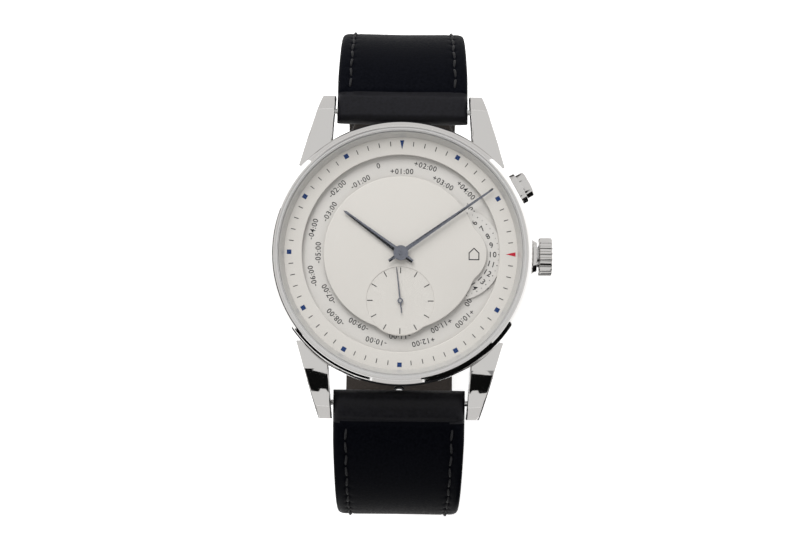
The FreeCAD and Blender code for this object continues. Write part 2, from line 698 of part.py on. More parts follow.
def make_case_back():
    ring = turned("case_back_ring", [
        (back_glass_radius + fit_gap, 0.0),
        (back_radius - 0.5, 0.0),
        (back_radius, case_bottom),
        (back_radius, back_thick),
        (back_window, back_thick),
        (back_window, back_glass_thick),
        (back_glass_radius + fit_gap, back_glass_thick),
    ])
    sketch = new_sketch(ring, "XY_Plane", 0)
    circle(sketch, back_screw_circle, 0, back_screw_radius)
    hole = pocket(ring, sketch, back_thick)
    repeat_round(ring, hole, "Z_Axis", 6)
    sketch = new_sketch(ring, "XY_Plane", 0)
    circle(sketch, back_screw_circle, 0, back_screw_head)
    sink = pocket(ring, sketch, case_bottom)
    repeat_round(ring, sink, "Z_Axis", 6)
    washer("back_crystal", 0, back_glass_radius, 0.0, back_glass_thick)
    washer("case_back_gasket", movement_bore, gasket_outer, back_thick, back_thick + gasket_thick)
    screws = []
    for k in range(6):
        turn = math.radians(60 * k)
        x = back_screw_circle.number * math.cos(turn)
        y = back_screw_circle.number * math.sin(turn)
        head = disc(back_screw_head.number - fit_gap.number, 0.05, case_bottom.number, x, y)
        shank = disc(back_screw_radius.number - fit_gap.number, 0.3, back_screw_depth.number, x, y)
        slot = Part.makeBox(2, 0.25, 0.25, Vector(x - 1, y - 0.125, 0))
        screws.append(head.fuse(shank).cut(slot))
    plain_part("case_back_screws", Part.makeCompound(screws))


def make_strap_bars():
    half = lug_inner_tip.number - 0.1
    pin_end = lug_inner_tip.number + bar_pin_depth.number
    for label, way in (("spring_bar_12", 1), ("spring_bar_6", -1)):
        start = Vector(-half, way * bar_reach.number, bar_height.number)
        tube = Part.makeCylinder(bar_radius.number, 2 * half, start, Vector(1, 0, 0))
        start = Vector(-pin_end, way * bar_reach.number, bar_height.number)
        pins = Part.makeCylinder(bar_pin_radius.number, 2 * pin_end, start, Vector(1, 0, 0))
        plain_part(label, tube.fuse(pins))


# Crown and button, drawn along X from the case's middle

def make_crown():
    at = back_height + crown_height
    turned("crown_tube", [
        (movement_bore, tube_bore),
        (crown_end - 0.9, tube_bore),
        (crown_end - 0.9, tube_radius),
        (collar_end, tube_radius),
        (collar_end, collar_tip),
        (case_radius, collar_base),
        (case_radius, tube_radius),
        (movement_bore, tube_radius),
    ], "H_Axis", at)
    body = turned("crown", [
        (crown_start, tube_radius + run_gap * 2),
        (crown_start, crown_radius - crown_bevel),
        (crown_start + crown_bevel, crown_radius),
        (crown_end - crown_bevel, crown_radius),
        (crown_end, crown_radius - crown_bevel),
        (crown_end, 0),
        (crown_end - 0.6, 0),
        (crown_end - 0.6, tube_radius + run_gap * 2),
    ], "H_Axis", at)
    sketch = new_sketch(body, "YZ_Plane", crown_start - 1)
    circle(sketch, 0, crown_radius + flute_radius * 0.45, flute_radius)
    flute = pocket(body, sketch, crown_end - crown_start + 2)
    repeat_round(body, flute, "X_Axis", 20)
    stem = turned("winding_stem", [
        (stem_start, 0),
        (stem_start, stem_radius),
        (stem_start + 1.2, stem_radius),
        (stem_start + 1.2, stem_radius - 0.2),
        (stem_start + 1.7, stem_radius - 0.2),
        (stem_start + 1.7, stem_radius),
        (crown_end - 0.6, stem_radius),
        (crown_end - 0.6, 0),
    ], "H_Axis", at)
    return stem


def make_setting_lever():
    """Fork that sits in the stem's groove and slides with it."""
    middle = stem_start.number + 1.45
    high = plate_floor.number - run_gap.number
    low = crown_height.number - stem_radius.number
    fork = Part.makeBox(0.4, 2.0, high - low, Vector(middle - 0.2, -1.0, low))
    groove_radius = stem_radius.number - 0.2 + run_gap.number
    neck = Part.makeBox(1, 2 * groove_radius, crown_height.number - low + 1,
                        Vector(middle - 0.5, -groove_radius, low - 1))
    hole = Part.makeCylinder(groove_radius, 1, Vector(middle - 0.5, 0, crown_height.number),
                             Vector(1, 0, 0))
    foot = Part.makeBox(1.6, 2.0, 0.25, Vector(middle - 1.4, -0.2, high - 0.25))
    plain_part("setting_lever", fork.cut(neck).cut(hole).fuse(foot))


SPRING_STEPS = 12


def make_button():
    at = back_height + button_height
    turn = Rotation(Vector(0, 0, 1), button_angle.number)
    turned("pusher_tube", [
        (spring_floor, button_stem + run_gap),
        (spring_floor, button_sleeve),
        (case_radius, button_sleeve),
        (case_radius, button_tube_radius),
        (button_tube_end - 0.1, button_tube_radius),
        (button_tube_end, button_tube_radius - 0.1),
        (button_tube_end, button_radius + run_gap),
        (button_floor, button_radius + run_gap),
        (button_floor, spring_bore),
        (spring_floor + 0.3, spring_bore),
        (spring_floor + 0.3, button_stem + run_gap),
    ], "H_Axis", at, turn)
    turned("pusher_cap", [
        (button_stem_end, 0),
        (button_stem_end, button_stem),
        (button_base, button_stem),
        (button_base, button_radius),
        (button_end - 0.3, button_radius, 0.42, -1),
        (button_end, button_radius - 0.3),
        (button_end, 0),
    ], "H_Axis", at, turn)
    first = spring_floor.number + 0.3 + spring_wire.number + 0.02
    last = button_base.number - spring_wire.number - 0.02
    count = int(SPRING_STEPS * spring_turns.number)
    rings = []
    for k in range(count + 1):
        angle = 2 * math.pi * k / SPRING_STEPS
        out = Vector(0, math.cos(angle), math.sin(angle))
        middle = Vector(first + (last - first) * k / count, 0, 0) + out * spring_coil.number
        corners = []
        for side in range(6):
            across = spring_wire.number * math.cos(math.pi * side / 3)
            along = spring_wire.number * math.sin(math.pi * side / 3)
            corners.append(middle + out * across + Vector(along, 0, 0))
        rings.append(Part.makePolygon(corners + corners[:1]))
    coil = Part.makeLoft(rings, True, True)
    plain_part("pusher_spring", coil, at.number, turn)


# Dials and rings

FEET = ((-8.6, 3.6), (1.2, 9.9), (2.6, -9.9))


def make_dials():
    plate = washer("dial_plate", 0, dial_radius - 0.05, dial_seat, dial_plate_top)
    depth = dial_plate_top - dial_seat
    bore(plate, [(0, 0)], hour_pipe + run_gap, dial_seat, depth)
    bore(plate, [(0, seconds_centre)], second_arbor + run_gap, dial_seat, depth)
    bore(plate, [(home_centre, 0)], home_axle + run_gap, dial_seat, depth)
    washer("dial_spacer_ring", support_inner, dial_radius - 0.05, dial_plate_top, dial_bottom)
    washer("outer_dial_ring", aperture_outer, dial_radius, dial_bottom, dial_top)
    ring = washer("world_time_ring", world_inner, world_outer, world_bottom, world_top)
    sketch = new_sketch(ring, "XY_Plane", world_bottom)
    outline(sketch, [
        (-0.9, world_inner - 0.5),
        (0.9, world_inner - 0.5),
        (0.2, world_inner + 0.45),
        (-0.2, world_inner + 0.45),
    ])
    notch = pocket(ring, sketch, world_top - world_bottom)
    repeat_round(ring, notch, "Z_Axis", 24)
    disc_body = new_body("home_time_disc")
    sketch = new_sketch(disc_body, "XY_Plane", home_bottom)
    circle(sketch, home_centre, 0, home_radius)
    pad(disc_body, sketch, home_top - home_bottom)
    sketch = new_sketch(disc_body, "XY_Plane", dial_seat)
    circle(sketch, home_centre, 0, home_axle)
    pad(disc_body, sketch, home_bottom - dial_seat)


def make_inner_dial():
    """Round dial with the small seconds dial swelling through its lower edge."""
    body = new_body("inner_dial")
    sketch = new_sketch(body, "XY_Plane", dial_bottom)
    circle(sketch, 0, 0, aperture_inner)
    pad(body, sketch, dial_top - dial_bottom)
    sketch = new_sketch(body, "XY_Plane", dial_bottom)
    circle(sketch, 0, seconds_centre, seconds_radius)
    pad(body, sketch, dial_top - dial_bottom)

    def meets(edge):
        ends = [v.Point for v in edge.Vertexes]
        if len(ends) != 2 or abs(ends[0].z - ends[1].z) < 0.1:
            return False
        place = ends[0]
        return abs(math.hypot(place.x, place.y) - aperture_inner.number) < 0.01 and place.y < -5

    soften(body, dial_fillet, meets)
    sketch = new_sketch(body, "XY_Plane", dial_top)
    circle(sketch, 0, seconds_centre, seconds_radius - seconds_rim)
    pocket(body, sketch, seconds_sink, reverse=False)
    depth = dial_top - dial_bottom
    bore(body, [(0, 0)], dial_hole, dial_bottom, depth)
    bore(body, [(0, seconds_centre)], seconds_hole, dial_bottom, depth)
    sketch = new_sketch(body, "XY_Plane", dial_plate_top)
    for x, y in FEET:
        circle(sketch, x, y, foot_radius)
    pad(body, sketch, dial_bottom - dial_plate_top)
    return body


# Hands

def ridged_hand(length, tail, width, tip_width, low):
    """Baton that tapers to a point, with a ridge along its middle, pointing to +Y."""

    def section(place, across, scale=1.0):
        half = across / 2
        top = low + hand_ridge.number * scale
        edge = low + hand_edge.number * scale
        corners = [(-half, low), (half, low), (half, edge), (0, top), (-half, edge), (-half, low)]
        return Part.makePolygon([Vector(x, place, z) for x, z in corners])

    shoulder = length - 1.5 * tip_width
    wires = [
        section(-tail, width * 0.62, 0.8),
        section(0.0, width),
        section(shoulder, tip_width),
        section(length, 0.04, 0.6),
    ]
    return Part.makeLoft(wires, True, True)


def make_hands():
    high = minute_base.number + hand_ridge.number
    blade = ridged_hand(hour_length.number, hand_tail.number, hour_width.number,
                        hour_tip_width.number, hour_base.number)
    hub = disc(hand_hub.number, hour_base.number, hour_base.number + hand_ridge.number)
    bored = disc(hour_pipe.number, hour_base.number - 1, high)
    hand = blade.fuse(hub).cut(bored)
    plain_part("hour_hand", hand, turn=Rotation(Vector(0, 0, 1), -hour_angle.number))
    blade = ridged_hand(minute_length.number, hand_tail.number, minute_width.number,
                        minute_tip_width.number, minute_base.number)
    hub = disc(hand_hub.number, minute_base.number, high)
    bored = disc(minute_arbor.number, minute_base.number - 1, high + 1)
    hand = blade.fuse(hub).cut(bored)
    plain_part("minute_hand", hand, turn=Rotation(Vector(0, 0, 1), -minute_angle.number))
    blade = ridged_hand(second_length.number, second_tail.number, second_width.number,
                        second_tip_width.number, second_base.number)
    hub = disc(second_hub.number, second_base.number, second_base.number + hand_ridge.number)
    bored = disc(second_arbor.number, second_base.number - 1, second_base.number + 1)
    hand = blade.fuse(hub).cut(bored)
    plain_part("small_seconds_hand", hand, turn=Rotation(Vector(0, 0, 1), -second_angle.number))
    parts[-1].Placement.Base = Vector(0, seconds_centre.number, back_height.number)
    pipe_top = hour_base.number + hand_ridge.number
    pipe = disc(hour_pipe.number, dial_seat.number, pipe_top)
    wheel_bottom = dial_plate_top.number + 0.08
    wheel = disc(hour_wheel_radius.number, wheel_bottom, world_bottom.number + 0.2)
    inside = disc(minute_arbor.number + run_gap.number, 0, high)
    plain_part("hour_wheel", pipe.fuse(wheel).cut(inside))
    arbor = disc(minute_arbor.number, plate_floor.number - 0.1, minute_post_top.number)
    plain_part("cannon_pinion", arbor)
    arbor = disc(second_arbor.number, plate_floor.number - 0.1,
                 second_base.number + hand_ridge.number, 0, seconds_centre.number)
    plain_part("seconds_arbor", arbor)


# Movement seen through the back

WINDING_JEWELS = ((-5.6, 6.4), (6.3, 4.3), (-1.2, 10.6))
PLATE_SCREW_ANGLES = (155.3, 108.4, 51.4, -14.8, -63.8)


def beside(place, distance, angle):
    """Point at a distance from a place, in a direction in degrees."""
    turn = math.radians(angle)
    return (place[0] + distance * math.cos(turn), place[1] + distance * math.sin(turn))


def train_places():
    """Arbors of the going train: each pinion stands a hair outside the wheel that drives it."""
    gap = mesh_gap.number
    fourth = (0.0, seconds_centre.number)
    to_centre = centre_wheel_radius.number + third_pinion.number + gap
    to_fourth = third_wheel_radius.number + fourth_pinion.number + gap
    apart = -fourth[1]
    down = (to_centre ** 2 - to_fourth ** 2 + apart ** 2) / (2 * apart)
    third = (math.sqrt(to_centre ** 2 - down ** 2), -down)
    barrel = beside((0, 0), barrel_radius.number + centre_pinion.number + gap, barrel_angle.number)
    escape = beside(fourth, fourth_wheel_radius.number + escape_pinion.number + gap,
                    escape_angle.number)
    balance = (balance_x.number, balance_y.number)
    towards = math.degrees(math.atan2(balance[1] - escape[1], balance[0] - escape[0]))
    fork = beside(escape, fork_span.number, towards)
    return {"barrel": barrel, "third": third, "fourth": fourth, "escape": escape, "fork": fork,
            "fork_angle": towards}


def jewel_places():
    train = train_places()
    return list(WINDING_JEWELS) + [train[name] for name in ("third", "fourth", "escape")]


def plate_screw_places():
    circle_radius = plate_radius.number - plate_screw_inset.number
    return [beside((0, 0), circle_radius, angle) for angle in PLATE_SCREW_ANGLES]


def make_plates():
    plate = turned("main_plate", [
        (0, plate_floor),
        (plate_rim_radius, plate_floor),
        (plate_rim_radius, bridge_top),
        (plate_radius, bridge_top),
        (plate_radius, dial_seat),
        (0, dial_seat),
    ])
    thick = dial_seat - plate_floor
    bore(plate, [(0, 0)], hour_pipe + run_gap, plate_floor, thick)
    bore(plate, [(0, seconds_centre)], second_arbor + run_gap, plate_floor, thick)
    bore(plate, [(home_centre, 0)], home_axle + run_gap, plate_floor, thick)
    for angle in (0, button_angle.number):
        sketch = new_sketch(plate, "YZ_Plane", 0, Rotation(Vector(0, 1, 0), angle))
        outline(sketch, box_corners(-stem_slot, stem_slot, bridge_top - 1, plate_floor - 0.1))
        pocket(plate, sketch, plate_radius)
    bridge = washer("three_quarter_plate", 0, plate_radius, bridge_bottom, bridge_top)
    depth = bridge_top - bridge_bottom
    sketch = new_sketch(bridge, "XY_Plane", bridge_bottom)
    circle(sketch, balance_x, balance_y, balance_bay)
    pocket(bridge, sketch, depth)
    sketch = new_sketch(bridge, "XY_Plane", bridge_bottom)
    outline(sketch, [
        (balance_x - 3.0, balance_y - 3.9),
        (balance_x + 1.2, balance_y - 4.0),
        (balance_x + 1.2, balance_y - 12),
        (balance_x - 12, balance_y - 12),
        (balance_x - 12, balance_y + 1.6),
        (balance_x - 4.4, balance_y + 1.6),
    ])
    pocket(bridge, sketch, depth)
    bore(bridge, jewel_places(), jewel_radius, bridge_bottom, 0.4)
    bore(bridge, plate_screw_places(), plate_screw_head, bridge_bottom, 0.45)
    return bridge


def make_small_movement_parts():
    low = bridge_bottom.number
    stones = []
    for x, y in jewel_places():
        stone = disc(jewel_radius.number - fit_gap.number, low + 0.08, low + 0.4, x, y)
        stones.append(stone.cut(disc(0.14, low, low + 1, x, y)))
    plain_part("jewels", Part.makeCompound(stones))
    screws = []
    for k, (x, y) in enumerate(plate_screw_places()):
        across = plate_screw_head.number
        head = disc(across - fit_gap.number, low + 0.05, low + 0.45, x, y)
        slot = Part.makeBox(2 * across, 0.22, 0.2, Vector(x - across, y - 0.11, low))
        slot.rotate(Vector(x, y, 0), Vector(0, 0, 1), 37 * k)
        screws.append(head.cut(slot))
    plain_part("plate_screws", Part.makeCompound(screws))


def toothed(place, radius, teeth, low, high):
    """Disc whose edge goes in and out once for each tooth, with narrow flat tips."""
    corners = []
    for k in range(teeth):
        for share, reach in ((-0.22, 0.0), (-0.1, 1.0), (0.1, 1.0), (0.22, 0.0)):
            angle = 360.0 * (k + share) / teeth
            x, y = beside(place, radius - tooth_depth.number * (1 - reach), angle)
            corners.append(Vector(x, y, low))
    return Part.Face(Part.makePolygon(corners + corners[:1])).extrude(Vector(0, 0, high - low))


def on_spokes(edge, place, inside, low, spokes):
    """Opens a disc behind its rim and sets it on spokes."""
    x, y = place
    high = low + wheel_thick.number
    wheel = edge.cut(disc(inside, low - 1, high + 1, x, y))
    half = wheel_spoke.number / 2
    for k in range(spokes):
        arm = Part.makeBox(inside + 0.1, 2 * half, high - low, Vector(x, y - half, low))
        arm.rotate(Vector(x, y, 0), Vector(0, 0, 1), 360.0 * k / spokes + 20)
        wheel = wheel.fuse(arm)
    return wheel


def arbor_with_pinion(place, arbor, pinion, pinion_low, pinion_high, top):
    """Arbor between the plates; its pinion is the thicker part."""
    rod = disc(arbor, bridge_top.number + run_gap.number, top, *place)
    return rod.fuse(disc(pinion, pinion_low, pinion_high, *place))


def spoked_wheel(place, radius, teeth, low):
    edge = toothed(place, radius, teeth, low, low + wheel_thick.number)
    inside = radius - tooth_depth.number - wheel_rim.number
    return on_spokes(edge, place, inside, low, 4)


def make_going_train():
    """Barrel, three wheels, escape wheel and pallet fork between the two plates."""
    train = train_places()
    floor = plate_floor.number - run_gap.number
    arbor_top = plate_floor.number - 0.1
    arbor = train_arbor.number
    thick = wheel_thick.number
    x, y = train["barrel"]
    drum = disc(barrel_radius.number - 0.35, barrel_low.number, barrel_high.number, x, y)
    edge = toothed((x, y), barrel_radius.number, 60, barrel_low.number, barrel_low.number + 0.2)
    lid = disc(barrel_radius.number - 0.8, 0, barrel_low.number + 0.1, x, y).cut(disc(1.3, 0, 9, x, y))
    rod = disc(0.7, bridge_top.number + run_gap.number, floor, x, y)
    plain_part("mainspring_barrel", drum.fuse(edge).cut(lid).fuse(rod))
    low = centre_wheel_low.number
    wheel = spoked_wheel((0, 0), centre_wheel_radius.number, 60, low)
    pinion = arbor_with_pinion((0, 0), minute_arbor.number, centre_pinion.number, low,
                               barrel_high.number, arbor_top)
    plain_part("centre_wheel", wheel.fuse(pinion))
    low = third_wheel_low.number
    wheel = spoked_wheel(train["third"], third_wheel_radius.number, 48, low)
    pinion = arbor_with_pinion(train["third"], arbor, third_pinion.number,
                               centre_wheel_low.number, low, floor)
    plain_part("third_wheel", wheel.fuse(pinion))
    low = fourth_wheel_low.number
    wheel = spoked_wheel(train["fourth"], fourth_wheel_radius.number, 48, low)
    pinion = arbor_with_pinion(train["fourth"], arbor, fourth_pinion.number,
                               third_wheel_low.number - 0.05, third_wheel_low.number + thick, arbor_top)
    plain_part("fourth_wheel", wheel.fuse(pinion))
    make_escapement(train, floor)


def make_escapement(train, floor):
    """Escape wheel with fifteen slanted teeth, and the fork whose two stones lie beside them."""
    low = escape_low.number
    high = low + wheel_thick.number
    place = train["escape"]
    radius = escape_radius.number
    corners = []
    for k in range(15):
        for share, reach in ((0.0, radius), (0.12, radius), (0.3, radius - 0.5), (0.8, radius - 0.5)):
            x, y = beside(place, reach, 24 * (k + share))
            corners.append(Vector(x, y, low))
    edge = Part.Face(Part.makePolygon(corners + corners[:1])).extrude(Vector(0, 0, high - low))
    wheel = on_spokes(edge, place, radius - 0.8, low, 4)
    pinion = arbor_with_pinion(place, train_arbor.number, escape_pinion.number,
                               fourth_wheel_low.number - 0.05, fourth_wheel_low.number + 0.2, floor)
    plain_part("escape_wheel", wheel.fuse(pinion))
    towards = train["fork_angle"]
    fork = train["fork"]
    staff_way = math.hypot(balance_x.number - fork[0], balance_y.number - fork[1])
    reach = staff_way - fork_clear.number
    lever = Part.makeBox(reach, 0.3, high - low, Vector(fork[0], fork[1] - 0.15, low))
    horns = Part.makeBox(0.45, 0.8, high - low, Vector(fork[0] + reach - 0.45, fork[1] - 0.4, low))
    notch = Part.makeBox(0.5, 0.3, high - low, Vector(fork[0] + reach - 0.3, fork[1] - 0.15, low))
    body = lever.fuse(horns).cut(notch)
    body.rotate(Vector(fork[0], fork[1], 0), Vector(0, 0, 1), towards)
    stone_reach = radius + pallet_clear.number
    for side in (1, -1):
        angle = towards + 34 * side
        stone = Part.makeBox(0.5, 0.24, high - low, Vector(place[0] + stone_reach, place[1] - 0.12, low))
        stone.rotate(Vector(place[0], place[1], 0), Vector(0, 0, 1), angle)
        x, y = beside(place, stone_reach + 0.35, angle)
        way = math.degrees(math.atan2(y - fork[1], x - fork[0]))
        span = math.hypot(x - fork[0], y - fork[1])
        arm = Part.makeBox(span, 0.3, high - low, Vector(fork[0], fork[1] - 0.15, low))
        arm.rotate(Vector(fork[0], fork[1], 0), Vector(0, 0, 1), way)
        body = body.fuse(arm).fuse(stone)
    hub = disc(0.3, low, high, *fork)
    rod = disc(0.12, low - 0.05, plate_floor.number - 0.03, *fork)
    plain_part("pallet_fork", body.fuse(hub).fuse(rod))


def make_balance():
    """Ring with two spokes, its staff and spring, under a cock screwed to the rim."""
    x = balance_x.number
    y = balance_y.number
    big = balance_radius.number
    wheel = disc(big, 4.35, 4.75, x, y).cut(disc(big - 0.55, 4, 5, x, y))
    for turn in (20, 110):
        spoke = Part.makeBox(2 * big - 0.6, 0.5, 0.25, Vector(x - big + 0.3, y - 0.25, 4.42))
        spoke.rotate(Vector(x, y, 0), Vector(0, 0, 1), turn)
        wheel = wheel.fuse(spoke)
    staff = disc(0.22, bridge_bottom.number + 0.75, plate_floor.number - run_gap.number, x, y)
    hub = disc(0.7, 4.3, 4.9, x, y)
    collet = disc(0.45, 3.75, 4.3, x, y)
    plain_part("balance_wheel", wheel.fuse(hub).fuse(staff).fuse(collet))
    cock_low = bridge_bottom.number
    turn = math.degrees(math.atan2(y, x))
    reach = math.hypot(x, y)
    arm = Part.makeBox(plate_radius.number - reach, 2.6, 0.65, Vector(reach, -1.3, cock_low))
    pad_disc = disc(1.3, cock_low, cock_low + 0.65, reach)
    foot_depth = bridge_top.number - cock_low
    foot = Part.makeBox(1.2, 4.6, foot_depth, Vector(plate_radius.number - 1.2, -2.3, cock_low))
    cock = arm.fuse(pad_disc).fuse(foot).common(disc(plate_radius.number, 0, 10))
    cock = cock.cut(disc(0.22 + run_gap.number, cock_low + 0.3, 5, reach))
    cock.rotate(Vector(0, 0, 0), Vector(0, 0, 1), turn)
    plain_part("balance_cock", cock)


HAIR_TURNS = 4
HAIR_STEPS = 18


def make_hairspring():
    """Flat spiral r = inner + pitch * turns, a thin upright strip, from collet to stud."""
    inner = 0.45
    pitch = 0.52
    half = 0.05
    low = 3.85
    high = 4.1
    count = HAIR_TURNS * HAIR_STEPS
    outer_edge = []
    inner_edge = []
    for k in range(count + 1):
        angle = 2 * math.pi * k / HAIR_STEPS
        radius = inner + half + pitch * k / HAIR_STEPS
        out = Vector(math.cos(angle), math.sin(angle), 0)
        outer_edge.append(out * (radius + half) + Vector(0, 0, low))
        inner_edge.append(out * (radius - half) + Vector(0, 0, low))
    print("hairspring: least gap between turns %.2f mm" % (pitch - 2 * half))
    loop = outer_edge + inner_edge[::-1] + outer_edge[:1]
    strip = Part.Face(Part.makePolygon(loop)).extrude(Vector(0, 0, high - low))
    strip.translate(Vector(balance_x.number, balance_y.number, 0))
    plain_part("hairspring", strip)


def make_rotor():
    """Half disc with a heavy rim and two windows, on a ball bearing in the middle."""
    body = new_body("rotor")
    sketch = new_sketch(body, "XY_Plane", rotor_top - rotor_web)
    outline(sketch, [
        (-rotor_radius, 0, rotor_radius, 1),
        (0, -rotor_radius, rotor_radius, 1),
        (rotor_radius, 0),
    ])
    pad(body, sketch, rotor_web)
    sketch = new_sketch(body, "XY_Plane", rotor_bottom)
    edge = 1.2
    outline(sketch, [
        (-rotor_radius, 0, rotor_radius, 1),
        (0, -rotor_radius, rotor_radius, 1),
        (rotor_radius, 0),
        (rotor_rim, 0, rotor_rim, -1),
        (0, -rotor_rim, rotor_rim, -1),
        (-rotor_rim, 0),
    ])
    pad(body, sketch, rotor_top - rotor_bottom)
    sketch = new_sketch(body, "XY_Plane", rotor_bottom)
    circle(sketch, 0, 0, rotor_hub)
    pad(body, sketch, rotor_top - rotor_bottom)
    sketch = new_sketch(body, "XY_Plane", rotor_bottom - 1)
    for side in (1, -1):
        outline(sketch, [
            (edge * side, -rotor_hub - edge),
            ((rotor_rim - 2.4) * side, -rotor_hub - edge),
            (edge * side, -rotor_rim + 1.6),
        ])
    pocket(body, sketch, rotor_top - rotor_bottom + 2)
    bore(body, [(0, 0)], bearing_radius + run_gap, rotor_bottom - 1, 3)
    bearing = turned("rotor_bearing", [
        (0, rotor_bottom - 0.05),
        (bearing_radius - 0.4, rotor_bottom - 0.05),
        (bearing_radius, rotor_bottom + 0.2),
        (bearing_radius, rotor_top),
        (bearing_radius + 0.5, bridge_bottom - 0.1),
        (bearing_radius + 0.5, bridge_bottom),
        (0, bridge_bottom),
    ])
    return bearing


# Strap

def arc_stations(centre, radius, start, end, step=5.0):
    """Places along an arc by heading: (y, z, heading in degrees), centre + r (-sin a, cos a)."""
    count = max(2, int(math.ceil(abs(end - start) / step)))
    rows = []
    for k in range(count + 1):
        heading = start + (end - start) * k / count
        a = math.radians(heading)
        rows.append((centre[0] - radius * math.sin(a), centre[1] + radius * math.cos(a), heading))
    return rows


def half_loop(reach, side, bottom):
    """Middle line of a strap half: shoulder arc, side arc and bottom arc, all tangent.

    Starts at the strap bar and ends level at the lowest place, as (y, z, heading) rows.
    """
    bar_z = back_height.number + bar_height.number
    out = reach - bar_reach.number
    rise = bar_z - strap_widest.number
    shoulder = (out * out + rise * rise) / (2 * out)
    centre = (reach - shoulder, strap_widest.number)
    first = math.degrees(-math.asin((bar_reach.number - centre[0]) / shoulder))
    rows = arc_stations(centre, shoulder, first, -90.0)
    drop = strap_widest.number - bottom
    big = ((reach - side) ** 2 + drop * drop - side * side) / (2 * (drop - side))
    side_centre = (reach - side, strap_widest.number)
    big_centre = (0.0, bottom + big)
    tilt = math.degrees(math.atan2(side_centre[0], big_centre[1] - side_centre[1]))
    turn = -180.0 + tilt
    rows += arc_stations(side_centre, side, -90.0, turn)[1:]
    rows += arc_stations(big_centre, big, turn, -180.0)[1:]
    return rows, big


def with_distance(rows):
    """Adds the way from the bar to each (y, z, heading) row."""
    marked = [(rows[0][0], rows[0][1], rows[0][2], 0.0)]
    for before, row in zip(rows, rows[1:]):
        way = math.hypot(row[0] - before[0], row[1] - before[1])
        marked.append((row[0], row[1], row[2], marked[-1][3] + way))
    return marked


def place_on(rows, distance):
    """Place and heading at a distance along the marked rows."""
    for before, row in zip(rows, rows[1:]):
        if row[3] >= distance:
            share = (distance - before[3]) / (row[3] - before[3])
            return tuple(before[i] + share * (row[i] - before[i]) for i in range(3))
    return rows[-1][:3]


def trimmed(rows, marks):
    """Rows from the first to the last marked distance, with a row at every mark."""
    inside = [row for row in rows if marks[0] < row[3] < marks[-1]]
    clear = [row for row in inside if min(abs(row[3] - mark) for mark in marks) > 0.3]
    marked = [place_on(rows, mark) + (mark,) for mark in marks]
    return sorted(clear + marked, key=lambda row: row[3])


def lofted(rows, section):
    """Ruled loft through sections; section gives (x, outward) corners at a distance."""
    wires = []
    for y, z, heading, distance in rows:
        a = math.radians(heading)
        corners = []
        for x, out in section(distance):
            corners.append(Vector(x, y - out * math.sin(a), z + out * math.cos(a)))
        wires.append(Part.makePolygon(corners + corners[:1]))
    return Part.makeLoft(wires, True, True)


def blend(low, high, share):
    return low + (high - low) * min(1.0, max(0.0, share))


def leather_section(distance, total, width, tail_fold):
    """Upper leather: flat below, crowned above, folded back behind the bars."""
    thick = blend(leather_lug.number, leather_end.number, (distance - 4) / 40)
    under = -strap_roll.number * (1 - blend(0, 1, distance / fold_length.number))
    if tail_fold:
        back = (total - distance) / fold_length.number
        under = min(under, -lining_thick.number * (1 - blend(0, 1, back)))
    half = width(distance) / 2
    band = min(edge_band.number, half * 0.6)
    edge = thick - leather_edge.number
    return [(-half, under), (half, under), (half, edge), (half - band, thick),
            (-half + band, thick), (-half, edge)]


def tapered(distance):
    share = (distance - taper_start.number) / taper_run.number
    return blend(strap_lug_width.number, strap_end_width.number, share)


def roll(radius, y, z, width):
    return Part.makeCylinder(radius, width, Vector(-width / 2, y, z), Vector(1, 0, 0))


def local_frame(place, turn=0.0):
    """Placement at a place of the strap: Y along it, Z outwards."""
    y, z, heading = place
    return Placement(Vector(0, y, z), Rotation(Vector(1, 0, 0), heading + turn))


def short_rows():
    """Middle line of the short half; its bottom arc runs on, so that a longer half still fits."""
    rows, big = half_loop(short_reach.number, short_side.number, strap_bottom.number)
    spare = math.degrees(short_length.number / 4 / big)
    rows += arc_stations((0.0, strap_bottom.number + big), big, -180.0, -180.0 - spare)[1:]
    return with_distance(rows), big


def make_short_strap():
    rows, big = short_rows()
    total = short_length.number
    fold = fold_length.number
    run = trimmed(rows, [0.0, fold, total - fold, total])

    def section(distance):
        return leather_section(distance, total, tapered, True)

    upper = lofted(run, section)
    bar_y, bar_z = run[0][0], run[0][1]
    end_y, end_z = run[-1][0], run[-1][1]
    upper = upper.fuse(roll(strap_roll.number, bar_y, bar_z, strap_lug_width.number))
    upper = upper.fuse(roll(buckle_roll.number, end_y, end_z, strap_end_width.number))
    upper = upper.cut(roll(bar_radius.number + run_gap.number, bar_y, bar_z, 30))
    upper = upper.cut(roll(buckle_bar.number + run_gap.number, end_y, end_z, 30))
    slot = Part.makeBox(2 * tongue_slot.number, 12, 8, Vector(-tongue_slot.number, -4, -4))
    slot.Placement = local_frame(run[-1][:3]).multiply(slot.Placement)
    upper = upper.cut(slot)
    plain_part("strap_short_upper", upper.removeSplitter(), 0)

    def lining(distance):
        half = tapered(distance) / 2
        return [(-half, -lining_thick.number), (half, -lining_thick.number), (half, 0), (-half, 0)]

    inner = trimmed(rows, [fold, total - fold])
    plain_part("strap_short_lining", lofted(inner, lining), 0)


def long_rows():
    big_short = short_rows()[1]
    bottom = strap_bottom.number + tail_offset.number
    rows = half_loop(long_reach.number, long_side.number, bottom)[0]
    radius = big_short - tail_offset.number
    centre = (0.0, strap_bottom.number + big_short)
    sweep = math.degrees(tail_length.number / radius)
    rows += arc_stations(centre, radius, -180.0, -180.0 - sweep)[1:]
    return with_distance(rows)


